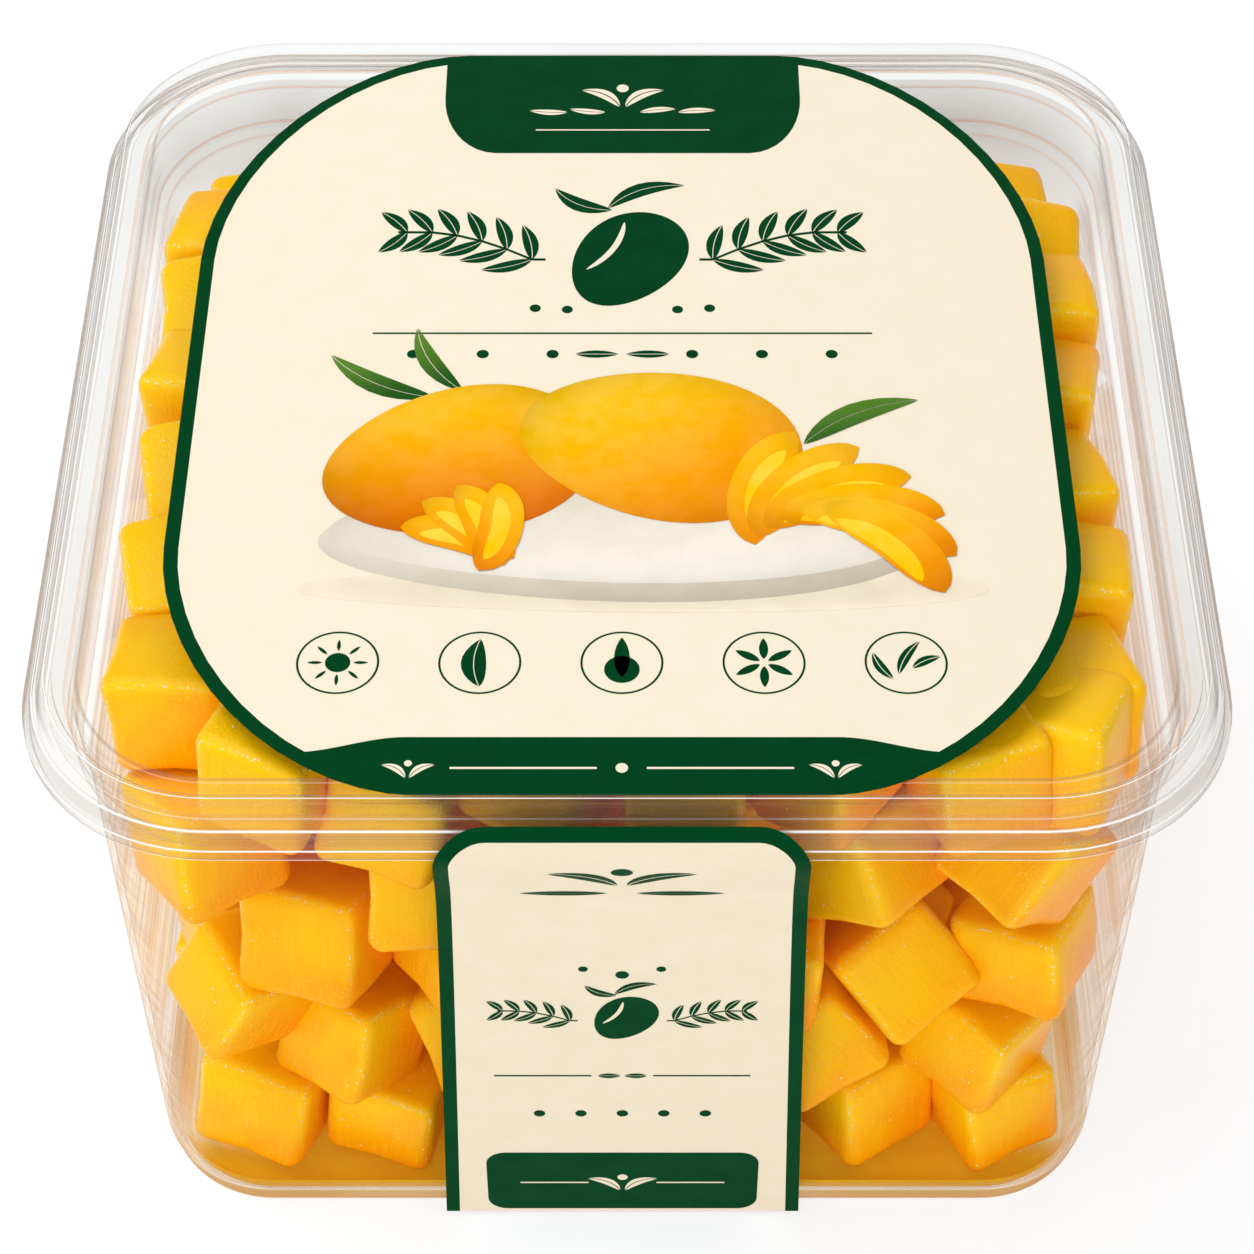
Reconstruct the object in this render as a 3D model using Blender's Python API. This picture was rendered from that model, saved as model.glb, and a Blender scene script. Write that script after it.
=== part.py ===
"""A shut square tub of clear plastic, full of mango cubes, with a label on its lid and one down its front.

Everything is in metres, +Z up. The origin is on the floor under the middle of the tub.
The front, where the narrow label seals the lid to the tub, faces -Y.
"""
import math

import bmesh
import bpy
import numpy as np

MM = 0.001

# Outer sizes of the tub and its lid, given as half widths because the outline is square.
LID_HALF = 60.0 * MM
LID_CORNER = 20.0 * MM
HEIGHT = 79.3 * MM
PANEL_Z = 78.3 * MM
FLANGE_LOW = 73.0 * MM
WALL_TOP_HALF = 54.2 * MM
WALL_LOW_HALF = 52.95 * MM
WALL_TOP_Z = 68.0 * MM
HEEL_Z = 4.2 * MM
WALL = 0.7 * MM
LID_WALL = 0.6 * MM
CORNER_STEPS = 9

# The room inside the tub that the fruit may fill.
ROOM_FLOOR = 1.4 * MM
ROOM_TOP = 76.6 * MM
ROOM_TOP_BACK = 68.5 * MM
ROOM_TOP_FADE = (26.0 * MM, 52.0 * MM)
LEDGE_Z = 69.6 * MM
LEDGE_OUT = 0.9 * MM
ROOM_GAP = 0.35 * MM

# The mango cubes.
CUBE = 12.7 * MM
CUBE_SPREAD = 0.55 * MM
LAYERS = 5
ROWS = 7
CORE_INSET = 9.0 * MM
CORE_LOW = 8.0 * MM
CORE_TOP = 62.0 * MM
HIDDEN_HALF = 24.0 * MM
HIDDEN_Z = 36.0 * MM
STAGGER = 0.125
JITTER = 0.16
NEAREST_TO_HELD = 0.85
PUSH_ROUNDS = 160
PUSH_SHARE = 0.4
SEED = 20

# Cubes this near the wall, the top or the floor of the room are modelled, the rest are core.
SEEN_AT_WALL = 2.5 * MM
SEEN_AT_TOP = 7.0 * MM
SEEN_AT_FLOOR = 3.0 * MM

# The labels.
GAP = 0.3 * MM
LID_LABEL_THICK = 0.25 * MM
LID_LABEL_HALF = 46.6 * MM
LID_LABEL_BACK = 55.9 * MM
LID_LABEL_FRONT = 56.2 * MM
LABEL_SHIFT = -0.5 * MM
FRONT_LABEL_THICK = 0.3 * MM
FRONT_LABEL_TOP_HALF = 18.0 * MM
FRONT_LABEL_LOW_HALF = 19.9 * MM
FRONT_LABEL_CORNER = 5.0 * MM

# Cubes that lie against the front wall, set by hand: place across, height of the middle,
# turn, tilt and roll in degrees, and side.
FRONT_CUBES = (
    (-44.0, 55.0, 36, -12, 6, 13.2),
    (-33.0, 39.2, -22, -24, -3, 13.2),
    (-46.0, 29.5, -50, -25, 14, 12.2),
    (-30.2, 20.6, -40, -20, -5, 12.4),
    (-41.5, 8.4, -18, -12, 2, 13.6),
    (-26.5, 7.4, -15, -5, 5, 12.8),
    (-17.0, 38.0, -60, -12, -12, 12.6),
    (-23.5, 62.5, -15, -15, 8, 12.8),
    (24.0, 52.0, -40, -10, -30, 12.8),
    (29.0, 33.0, 15, -36, -30, 12.8),
    (41.5, 52.0, 42, 5, 40, 12.8),
    (46.0, 35.0, -30, -5, -10, 12.4),
    (39.0, 20.8, -40, -12, 5, 12.6),
    (20.0, 23.0, 5, -15, -35, 12.8),
    (26.5, 8.0, 34, -10, 2, 12.8),
    (41.8, 7.8, 26, -8, -3, 12.6),
    (-35.5, 69.8, -20, -8, 5, 12.4),
    (35.0, 69.6, 20, -10, -6, 12.4),
)

# Cubes of the top layer along the two sides: side, place from front to back, turn, tilt, roll.
SIDE_CUBES = (
    (-1, 47.0, 4, 10, -5),
    (-1, 33.0, -8, -8, -3),
    (-1, 20.5, 6, 7, -6),
    (-1, 8.0, -10, -10, -2),
    (-1, -5.5, 12, 10, -5),
    (-1, -19.5, 9, 5, -7),
    (-1, -33.5, -5, -7, -3),
    (1, 47.0, 3, 0, 4),
    (1, 33.5, -9, 7, 5),
    (1, 20.5, 6, -10, 6),
    (1, 7.5, -8, -12, 3),
    (1, -7.0, 14, -8, 7),
    (1, -21.0, -3, -14, 2),
    (1, -35.0, 14, -12, 5),
)
SIDE_CUBE_Z = 68.0 * MM
SIDE_CUBE = 13.0 * MM


def clear_scene():
    """Remove whatever the scene holds at the start."""
    for obj in list(bpy.data.objects):
        bpy.data.objects.remove(obj, do_unlink=True)


def material(name, color, roughness, transmission=0.0):
    """A Principled material with one colour."""
    mat = bpy.data.materials.new(name)
    mat.use_nodes = True
    shader = mat.node_tree.nodes["Principled BSDF"]
    shader.inputs["Base Color"].default_value = (*color, 1.0)
    shader.inputs["Roughness"].default_value = roughness
    shader.inputs["Metallic"].default_value = 0.0
    shader.inputs["Transmission Weight"].default_value = transmission
    return mat


def add_object(name, verts, faces, mat):
    """A named mesh object in the scene, with its faces pointing out."""
    mesh = bpy.data.meshes.new(name)
    mesh.from_pydata(verts, [], faces)
    bm = bmesh.new()
    bm.from_mesh(mesh)
    bmesh.ops.recalc_face_normals(bm, faces=bm.faces)
    bm.to_mesh(mesh)
    bm.free()
    obj = bpy.data.objects.new(name, mesh)
    bpy.context.scene.collection.objects.link(obj)
    mesh.materials.append(mat)
    return obj


def ring(half, height):
    """One level of a rounded square, whose corners stay concentric as it grows or shrinks."""
    radius = LID_CORNER - (LID_HALF - half)
    middle = half - radius
    points = []
    for corner in range(4):
        turn = corner * math.pi / 2
        cx = middle * (1 if corner in (0, 3) else -1)
        cy = middle * (1 if corner in (0, 1) else -1)
        for step in range(CORNER_STEPS + 1):
            angle = turn + step / CORNER_STEPS * math.pi / 2
            points.append((cx + radius * math.cos(angle), cy + radius * math.sin(angle), height))
    return points


def lofted(name, profile, mat):
    """A closed solid through square rings, from a cap at its first ring to a cap at its last."""
    verts = []
    for half, height in profile:
        verts.extend(ring(half, height))
    count = len(ring(*profile[0]))
    faces = [tuple(range(count))]
    for level in range(len(profile) - 1):
        low = level * count
        for k in range(count):
            nxt = (k + 1) % count
            faces.append((low + k, low + nxt, low + count + nxt, low + count + k))
    last = (len(profile) - 1) * count
    faces.append(tuple(range(last, last + count)))
    obj = add_object(name, verts, faces, mat)
    obj.data.set_sharp_from_angle(angle=math.radians(35))
    return obj


def make_tub(mat):
    """The open tub: raised base, standing ring, heel step, drafted wall, ledge and rim flange."""
    outside = [
        (47.0, 0.3), (47.6, 0.0), (50.6, 0.0), (51.8, 0.5), (52.4, 1.7), (52.5, 3.3),
        (WALL_LOW_HALF / MM, HEEL_Z / MM), (WALL_TOP_HALF / MM, WALL_TOP_Z / MM),
        (55.2, 69.2), (55.5, 74.6), (56.0, 75.2), (57.3, 75.3), (57.3, 76.2),
    ]
    inside = [
        (57.0, 76.4), (55.2, 76.4), (54.8, 76.0), (54.5, 69.5),
        (WALL_TOP_HALF / MM - WALL / MM, WALL_TOP_Z / MM + 0.2),
        (WALL_LOW_HALF / MM - WALL / MM, HEEL_Z / MM + 0.2),
        (51.8, 3.4), (51.5, 2.0), (50.8, 1.1), (50.0, 0.7), (47.8, 0.7), (47.2, 1.0),
    ]
    profile = [(half * MM, height * MM) for half, height in outside + inside]
    return lofted("tub", profile, mat)


def make_lid(mat):
    """The press-on lid: flat panel, thin bead round it, stepped skirt and bottom flange."""
    outside = [
        (56.4, PANEL_Z / MM), (56.6, 79.0), (56.9, HEIGHT / MM), (57.3, HEIGHT / MM), (57.55, 79.1),
        (57.9, 78.4), (58.3, 76.8), (58.9, 76.2), (59.2, 75.3), (59.7, 75.0), (60.0, 74.6),
        (60.0, FLANGE_LOW / MM),
    ]
    inside = [
        (59.4, FLANGE_LOW / MM), (59.3, 74.2), (58.6, 74.7), (58.2, 75.7), (57.7, 76.4), (57.3, 77.3),
        (56.8, PANEL_Z / MM - LID_WALL / MM),
    ]
    profile = [(half * MM, height * MM) for half, height in outside + inside]
    return lofted("lid", profile, mat)


def label_corner(cx, cy, rx, ry, start, steps=10, power=1.8):
    """A quarter of a soft corner: an ellipse with its power lowered a little below two."""
    points = []
    for step in range(steps + 1):
        angle = start + step / steps * math.pi / 2
        c = math.cos(angle)
        s = math.sin(angle)
        x = cx + rx * math.copysign(abs(c) ** (2 / power), c)
        y = cy + ry * math.copysign(abs(s) ** (2 / power), s)
        points.append((x, y))
    return points


def make_lid_label(mat):
    """A thin plate on the lid with wide soft corners, fuller at the front than at the back."""
    back_x, back_y = 18.0 * MM, 20.0 * MM
    front_x, front_y = 20.0 * MM, -24.0 * MM
    back_rx, back_ry = LID_LABEL_HALF - back_x, LID_LABEL_BACK - back_y
    front_rx, front_ry = LID_LABEL_HALF - front_x, LID_LABEL_FRONT + front_y
    outline = label_corner(back_x, back_y, back_rx, back_ry, 0)
    outline += label_corner(-back_x, back_y, back_rx, back_ry, math.pi / 2)
    outline += label_corner(-front_x, front_y, front_rx, front_ry, math.pi)
    outline += label_corner(front_x, front_y, front_rx, front_ry, 3 * math.pi / 2)
    low = PANEL_Z + GAP
    high = low + LID_LABEL_THICK
    count = len(outline)
    verts = [(x + LABEL_SHIFT, y, low) for x, y in outline]
    verts += [(x + LABEL_SHIFT, y, high) for x, y in outline]
    faces = [tuple(range(count)), tuple(range(count, 2 * count))]
    for k in range(count):
        nxt = (k + 1) % count
        faces.append((k, nxt, count + nxt, count + k))
    return add_object("lid_label", verts, faces, mat)


def cut_corners(points, rounds):
    """A smoother path: each round cuts every corner off a quarter of the way along its sides."""
    for _ in range(rounds):
        smooth = [points[0]]
        for (ay, az), (by, bz) in zip(points[:-1], points[1:]):
            smooth.append((0.75 * ay + 0.25 * by, 0.75 * az + 0.25 * bz))
            smooth.append((0.25 * ay + 0.75 * by, 0.25 * az + 0.75 * bz))
        smooth.append(points[-1])
        points = smooth
    return points


def front_label_path():
    """Side view of the front label's back face: lid skirt, flange edge, a free stretch, tub wall."""
    corners = [
        (-58.75, 76.8), (-60.45, 75.6), (-60.45, 72.2), (-54.5, 60.0), (-53.3, 4.0), (-53.3, 0.5),
    ]
    return cut_corners([(y * MM, z * MM) for y, z in corners], 2)


def make_front_label(mat):
    """A narrow strip with round top corners, widening slightly from the lid to the floor."""
    path = front_label_path()
    top, low = path[0][1], path[-1][1]
    arc = FRONT_LABEL_CORNER
    fine = []
    for (ay, az), (by, bz) in zip(path[:-1], path[1:]):
        pieces = 4 if top - az < arc else 1
        fine += [(ay + (by - ay) * k / pieces, az + (bz - az) * k / pieces) for k in range(pieces)]
    fine.append(path[-1])
    verts = []
    faces = []
    run = 0.0
    for k, (y, z) in enumerate(fine):
        before = fine[max(k - 1, 0)]
        after = fine[min(k + 1, len(fine) - 1)]
        run += math.dist(fine[k], before)
        along = math.atan2(after[1] - before[1], after[0] - before[0])
        out_y = FRONT_LABEL_THICK * math.sin(along)
        out_z = -FRONT_LABEL_THICK * math.cos(along)
        share = (top - z) / (top - low)
        half = FRONT_LABEL_TOP_HALF + (FRONT_LABEL_LOW_HALF - FRONT_LABEL_TOP_HALF) * share
        if run < arc:
            half += math.sqrt(arc * arc - (arc - run) ** 2) - arc
        for side, push in ((-1, 0), (1, 0), (1, 1), (-1, 1)):
            verts.append((LABEL_SHIFT + side * half, y + push * out_y, z + push * out_z))
    for k in range(len(fine) - 1):
        a = 4 * k
        for c in range(4):
            d = (c + 1) % 4
            faces.append((a + c, a + d, a + 4 + d, a + 4 + c))
    faces.append((0, 1, 2, 3))
    end = 4 * (len(fine) - 1)
    faces.append((end, end + 1, end + 2, end + 3))
    return add_object("front_label", verts, faces, mat)


def turned(yaw, tilt, roll):
    """Axes of cubes, one row for each axis: rolled about Y, tilted about X, then turned about Z."""
    a, b, c = np.radians(yaw), np.radians(tilt), np.radians(roll)
    ca, sa, cb, sb, cc, sc = np.cos(a), np.sin(a), np.cos(b), np.sin(b), np.cos(c), np.sin(c)
    x_axis = np.stack([ca * cc - sa * sb * sc, sa * cc + ca * sb * sc, -cb * sc], -1)
    y_axis = np.stack([-sa * cb, ca * cb, sb], -1)
    z_axis = np.stack([ca * sc + sa * sb * cc, sa * sc - ca * sb * cc, cb * cc], -1)
    return np.stack([x_axis, y_axis, z_axis], -2)


def corners_of(centre, axes, half):
    """The eight corners of every cube."""
    signs = np.array([(i, j, k) for i in (-1, 1) for j in (-1, 1) for k in (-1, 1)], float)
    reach = signs[None, :, :, None] * half[:, None, :, None] * axes[:, None, :, :]
    return centre[:, None, :] + reach.sum(2)


def room_half(height):
    """Half width of the room inside the wall at a height."""
    share = (height - HEEL_Z) / (WALL_TOP_Z - HEEL_Z)
    half = WALL_LOW_HALF + (WALL_TOP_HALF - WALL_LOW_HALF) * share - WALL - ROOM_GAP
    heel = np.clip((HEEL_Z - height) / HEEL_Z, 0, 1)
    ledge = np.clip((height - WALL_TOP_Z) / (LEDGE_Z - WALL_TOP_Z), 0, 1)
    return half - 1.6 * MM * heel + LEDGE_OUT * ledge


def room_top(back):
    """Highest level of the fruit at a place from front to back: it sinks towards the back wall."""
    start, end = ROOM_TOP_FADE
    share = np.clip((back - start) / (end - start), 0, 1)
    return ROOM_TOP - (ROOM_TOP - ROOM_TOP_BACK) * share


def wall_depth(points):
    """How far points lie outside the room's rounded square, and the way back in."""
    half = room_half(points[..., 2])
    radius = LID_CORNER - (LID_HALF - half)
    q = np.abs(points[..., :2]) - (half - radius)[..., None]
    out = np.maximum(q, 0)
    length = np.sqrt((out * out).sum(-1))
    depth = length + np.minimum(q.max(-1), 0) - radius
    flat = np.where(q[..., :1] > q[..., 1:], [1.0, 0.0], [0.0, 1.0])
    in_corner = (q.min(-1) > 0)[..., None]
    way = np.where(in_corner, out / np.maximum(length, 1e-9)[..., None], flat)
    return depth, -way * np.sign(points[..., :2])


def part_pairs(centre, axes, half, first, second):
    """The shortest push that parts each pair of cubes, by the fifteen separating directions."""
    apart = centre[second] - centre[first]
    a, b = axes[first], axes[second]
    cross = np.cross(a[:, :, None, :], b[:, None, :, :]).reshape(-1, 9, 3)
    ways = np.concatenate([a, b, cross], axis=1)
    length = np.sqrt((ways * ways).sum(-1))
    ways = ways / np.maximum(length, 1e-3)[..., None]
    reach_a = (np.abs((ways[:, :, None, :] * a[:, None, :, :]).sum(-1)) * half[first][:, None, :]).sum(-1)
    reach_b = (np.abs((ways[:, :, None, :] * b[:, None, :, :]).sum(-1)) * half[second][:, None, :]).sum(-1)
    gap = (ways * apart[:, None, :]).sum(-1)
    depth = np.where(length > 0.05, reach_a + reach_b - np.abs(gap), 1.0)
    best = depth.argmin(1)
    rows = np.arange(len(best))
    push = ways[rows, best] * np.sign(gap[rows, best])[:, None]
    return np.maximum(depth[rows, best], 0), push


def first_places(rng):
    """Hand-set cubes first, then a staggered lattice that fills the rest of the room."""
    placed = np.array(FRONT_CUBES, float)
    sides = np.array(SIDE_CUBES, float)
    angles = np.concatenate([placed[:, 2:5], sides[:, 2:5]])
    size = np.concatenate([placed[:, 5] * MM, np.full(len(sides), SIDE_CUBE)])
    side_z = SIDE_CUBE_Z + rng.uniform(-1.0, 0.6, len(sides)) * MM
    held = np.concatenate([
        np.stack([placed[:, 0] * MM, np.zeros(len(placed)), placed[:, 1] * MM], -1),
        np.stack([np.zeros(len(sides)), sides[:, 1] * MM, side_z], -1),
    ])
    reach = (np.abs(turned(*angles.T)) * size[:, None, None] / 2).sum(1)
    against_wall = room_half(held[:, 2])[:, None] - reach[:, :2]
    held[:len(placed), 1] = -against_wall[:len(placed), 1]
    held[len(placed):, 0] = sides[:, 0] * against_wall[len(placed):, 0]
    step = (ROOM_TOP - ROOM_FLOOR) / LAYERS
    reach = room_half(ROOM_TOP / 2) - 0.55 * CUBE
    spots = []
    for layer in range(LAYERS):
        shift = STAGGER * (-1) ** layer * CUBE
        line = np.linspace(-1, 1, ROWS) * reach
        gx, gy = np.meshgrid(line + shift, line - shift, indexing="ij")
        gz = np.full(gx.shape, ROOM_FLOOR + (layer + 0.5) * step)
        spots.append(np.stack([gx, gy, gz], -1).reshape(-1, 3))
    spots = np.concatenate(spots)
    spots = spots + rng.uniform(-JITTER, JITTER, spots.shape) * CUBE
    nearest = np.sqrt(((spots[:, None] - held[None]) ** 2).sum(-1)).min(1)
    inside = (np.abs(spots[:, :2]).max(1) < HIDDEN_HALF) & (np.abs(spots[:, 2] - HIDDEN_Z) < HIDDEN_HALF)
    free = spots[(nearest > NEAREST_TO_HELD * CUBE) & ~inside]
    turn = np.stack([
        rng.uniform(-45, 45, len(free)),
        rng.normal(-4, 15, len(free)),
        rng.normal(0, 15, len(free)),
    ], -1)
    rolled = rng.random(len(free)) < 0.25
    turn[rolled, 2] += 35
    free_size = rng.normal(CUBE, CUBE_SPREAD, len(free)).clip(0.86 * CUBE, 1.1 * CUBE)
    centre = np.concatenate([held, free])
    return centre, np.concatenate([angles, turn]), np.concatenate([size, free_size]), len(held)


def cube_layout():
    """Centres, axes and half sides of all cubes, pushed apart until they hardly touch."""
    rng = np.random.default_rng(SEED)
    centre, angles, size, held = first_places(rng)
    axes = turned(angles[:, 0], angles[:, 1], angles[:, 2])
    half = size[:, None] / 2 * rng.uniform(0.94, 1.06, (len(size), 3))
    free = (np.arange(len(size)) >= held).astype(float)
    for _ in range(PUSH_ROUNDS):
        far = ((centre[:, None] - centre[None]) ** 2).sum(-1)
        first, second = np.nonzero(np.triu(far < (1.75 * CUBE) ** 2, 1))
        depth, push = part_pairs(centre, axes, half, first, second)
        share = free[first] / np.maximum(free[first] + free[second], 1)
        other = free[second] / np.maximum(free[first] + free[second], 1)
        move = push * depth[:, None] * PUSH_SHARE
        shift = np.zeros_like(centre)
        np.add.at(shift, first, -move * share[:, None])
        np.add.at(shift, second, move * other[:, None])
        centre = centre + shift
        for _ in range(2):
            points = corners_of(centre, axes, half)
            out, way = wall_depth(points)
            worst = out.argmax(1)
            rows = np.arange(len(worst))
            centre[:, :2] += way[rows, worst] * np.maximum(out[rows, worst], 0)[:, None]
        points = corners_of(centre, axes, half)
        centre[:, 2] += np.maximum(ROOM_FLOOR - points[..., 2].min(1), 0)
        centre[:, 2] -= np.maximum((points[..., 2] - room_top(points[..., 1])).max(1), 0)
    return np.round(centre, 6), axes, half


def shown(centre, axes, half):
    """Cubes of the outer layer, which can be seen through the tub or the lid."""
    points = corners_of(centre, axes, half)
    depth, _ = wall_depth(points)
    near_wall = depth.max(1) > -SEEN_AT_WALL
    near_top = (points[..., 2] - room_top(points[..., 1])).max(1) > -SEEN_AT_TOP
    near_floor = points[..., 2].min(1) < ROOM_FLOOR + SEEN_AT_FLOOR
    return near_wall | near_top | near_floor


def largest_body(mesh):
    """Keep only the largest connected skin, which drops sealed hollows and loose scraps."""
    bm = bmesh.new()
    bm.from_mesh(mesh)
    bmesh.ops.remove_doubles(bm, verts=bm.verts, dist=1e-6)
    bodies = []
    left = set(bm.verts)
    while left:
        start = left.pop()
        body = {start}
        edge = [start]
        while edge:
            vert = edge.pop()
            for link in vert.link_edges:
                other = link.other_vert(vert)
                if other not in body:
                    body.add(other)
                    edge.append(other)
        left -= body
        bodies.append(body)
    keep = max(bodies, key=len)
    bmesh.ops.delete(bm, geom=[v for v in bm.verts if v not in keep], context="VERTS")
    bmesh.ops.triangulate(bm, faces=bm.faces)
    bm.to_mesh(mesh)
    bm.free()


def make_heap(mat):
    """The fruit: a plain core with every outer cube fused on at its true size."""
    centre, axes, half = cube_layout()
    seen = shown(centre, axes, half)
    corners = corners_of(centre[seen], axes[seen], half[seen])
    group = bpy.data.collections.new("cubes")
    bpy.context.scene.collection.children.link(group)
    quads = [(0, 1, 3, 2), (4, 6, 7, 5), (0, 4, 5, 1), (2, 3, 7, 6), (0, 2, 6, 4), (1, 5, 7, 3)]
    for number, eight in enumerate(corners):
        cube = add_object(f"cube_{number:03d}", [tuple(p) for p in eight], quads, mat)
        bpy.context.scene.collection.objects.unlink(cube)
        group.objects.link(cube)
    core_half = WALL_LOW_HALF - CORE_INSET
    heap = lofted("mango_heap", [(core_half, CORE_LOW), (core_half, CORE_TOP)], mat)
    union = heap.modifiers.new("union", "BOOLEAN")
    union.operation = "UNION"
    union.solver = "EXACT"
    union.operand_type = "COLLECTION"
    union.collection = group
    graph = bpy.context.evaluated_depsgraph_get()
    fused = bpy.data.meshes.new_from_object(heap.evaluated_get(graph))
    heap.modifiers.remove(union)
    heap.data = fused
    fused.name = "mango_heap"
    for cube in list(group.objects):
        bpy.data.objects.remove(cube, do_unlink=True)
    bpy.data.collections.remove(group)
    largest_body(fused)
    fused.materials.clear()
    fused.materials.append(mat)
    return heap


def main():
    clear_scene()
    clear = material("clear_plastic", (0.93, 0.93, 0.92), 0.05, 0.95)
    mango = material("mango", (0.95, 0.48, 0.02), 0.35)
    paper = material("label", (0.9, 0.83, 0.68), 0.45)
    make_tub(clear)
    make_lid(clear)
    make_heap(mango)
    make_lid_label(paper)
    make_front_label(paper)


main()
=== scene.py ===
"""A shut tub of mango cubes: clear pressed plastic, moist fruit and two printed labels.

Run it as a script in Blender. Lengths are metres in the part's own frame: +Z is up and the front faces -Y.
"""
import math

import bpy
import numpy as np
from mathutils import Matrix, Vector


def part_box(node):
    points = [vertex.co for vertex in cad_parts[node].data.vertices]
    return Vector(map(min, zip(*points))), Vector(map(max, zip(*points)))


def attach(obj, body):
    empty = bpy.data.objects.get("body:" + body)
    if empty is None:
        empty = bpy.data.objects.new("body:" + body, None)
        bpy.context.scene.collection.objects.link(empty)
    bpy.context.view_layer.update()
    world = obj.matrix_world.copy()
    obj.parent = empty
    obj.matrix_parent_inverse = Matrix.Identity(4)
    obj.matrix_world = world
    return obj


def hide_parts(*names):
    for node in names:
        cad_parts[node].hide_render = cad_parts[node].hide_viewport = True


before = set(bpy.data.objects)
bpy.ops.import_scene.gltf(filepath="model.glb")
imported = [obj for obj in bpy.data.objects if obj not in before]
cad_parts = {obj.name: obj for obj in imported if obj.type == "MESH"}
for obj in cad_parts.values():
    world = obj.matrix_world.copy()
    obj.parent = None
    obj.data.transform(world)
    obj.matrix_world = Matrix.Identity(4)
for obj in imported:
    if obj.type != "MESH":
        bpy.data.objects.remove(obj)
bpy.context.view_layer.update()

bl_info = {
    "name": "Tub of mango cubes",
    "version": (1, 0, 0),
    "blender": (4, 5, 0),
    "location": "View3D > Sidebar > Mango tub",
    "description": "Builds a clear tub of mango cubes with its lid and labels",
    "category": "Object",
}

MM = 0.001
TUB_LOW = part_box("tub")[0]

# Square outline shared by the tub and its lid: every level is the same square of corner centres,
# pushed outwards by the level's own radius.
LID_HALF = 60.0 * MM
LID_CORNER = 20.0 * MM
CORNER_CENTRE = LID_HALF - LID_CORNER
PANEL_Z = 78.3 * MM
WALL_TOP_HALF = 54.2 * MM
WALL_LOW_HALF = 52.95 * MM
WALL_TOP_Z = 68.0 * MM
HEEL_Z = 4.2 * MM
WALL = 0.7 * MM
# Heights where the plastic's haze changes from the fruit's golden colour, a painted reflection, to a grey
# filter that darkens what lies behind as painted shade.
GOLDEN_UP_TO = 50.0 * MM
GREY_FROM = 68.0 * MM
PAINTED_FRUIT_FILTER = (0.84, 0.64, 0.38, 1.0)
PAINTED_SHADE_FILTER = (0.68, 0.64, 0.61, 1.0)
CLEAR_FILTER = (0.985, 0.985, 0.98, 1.0)
# Heights over which a grey painted shade rises on the back wall, and where it stops.
BACK_SHADE_FROM = 50.0 * MM
BACK_SHADE_TO = 75.0 * MM
TUB_FLAT_HALF = 47.0 * MM
LID_FLAT_HALF = 54.0 * MM
JUICE_FLAT_HALF = 46.0 * MM
JUICE_SOFTNESS = 0.3 * MM

# The room inside the tub that the fruit may fill.
ROOM_FLOOR = 1.4 * MM
ROOM_TOP = 76.6 * MM
ROOM_TOP_BACK = 68.5 * MM
ROOM_TOP_FADE = (26.0 * MM, 52.0 * MM)
LEDGE_Z = 69.6 * MM
LEDGE_OUT = 0.9 * MM
ROOM_GAP = 0.35 * MM

# The lie of the fruit.
CUBE = 12.7 * MM
CUBE_SPREAD = 0.55 * MM
LAYERS = 5
ROWS = 7
HIDDEN_HALF = 24.0 * MM
HIDDEN_Z = 36.0 * MM
STAGGER = 0.125
JITTER = 0.16
NEAREST_TO_HELD = 0.85
PUSH_ROUNDS = 160
PUSH_SHARE = 0.4
SEED = 20
CORE_HALF = 30.0 * MM
CORE_LOW = 8.0 * MM
CORE_HIGH = 60.0 * MM
CORE_ROUND = 0.12
HEEL_IN = 1.6 * MM
LEAN = -4.0
LOOSE = 15.0
ROLLED_SHARE = 0.25
ROLLED_BY = 35.0

# The cut of each cube.
SHEAR = 0.05
CUT_SHARE = 0.985
WOBBLE = 0.2 * MM
WOBBLE_WAVES = (620.0, 480.0)
# Direction to the main light: each point of the flesh is painted yellow as it turns to it and orange as it
# turns away, as painted shade.
TO_LIGHT = np.array([-0.35, -0.25, 0.9])

# The labels.
LABEL_SHIFT = -0.5 * MM
LID_LABEL_HALF = 46.6 * MM
LID_LABEL_BACK = 55.9 * MM
LID_LABEL_FRONT = 56.2 * MM
LID_LABEL_POWER = 1.8
BACK_CORNER = (18.0 * MM, 20.0 * MM)
FRONT_CORNERS = (20.0 * MM, -24.0 * MM)
HAIR = 0.012 * MM
PAINT_STEP = 0.006 * MM
SIGN_ROW = -39.5
SIGN_COLUMNS = (-28.0, -14.0, 0.0, 14.0, 28.0)
FRONT_TOP_HALF = 18.0 * MM
FRONT_LOW_HALF = 19.9 * MM
FRONT_CORNER = 5.0 * MM

# Cubes that lie against the front wall: place across, height of the middle, turn, tilt and roll
# in degrees, and side, in millimetres.
FRONT_CUBES = (
    (-44.0, 55.0, 36, -12, 6, 13.2),
    (-33.0, 39.2, -22, -24, -3, 13.2),
    (-46.0, 29.5, -50, -25, 14, 12.2),
    (-30.2, 20.6, -40, -20, -5, 12.4),
    (-41.5, 8.4, -18, -12, 2, 13.6),
    (-26.5, 7.4, -15, -5, 5, 12.8),
    (-17.0, 38.0, -60, -12, -12, 12.6),
    (-23.5, 62.5, -15, -15, 8, 12.8),
    (24.0, 52.0, -40, -10, -30, 12.8),
    (29.0, 33.0, 15, -36, -30, 12.8),
    (41.5, 52.0, 42, 5, 40, 12.8),
    (46.0, 35.0, -30, -5, -10, 12.4),
    (39.0, 20.8, -40, -12, 5, 12.6),
    (20.0, 23.0, 5, -15, -35, 12.8),
    (26.5, 8.0, 34, -10, 2, 12.8),
    (41.8, 7.8, 26, -8, -3, 12.6),
    (-35.5, 69.8, -20, -8, 5, 12.4),
    (35.0, 69.6, 20, -10, -6, 12.4),
)

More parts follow.
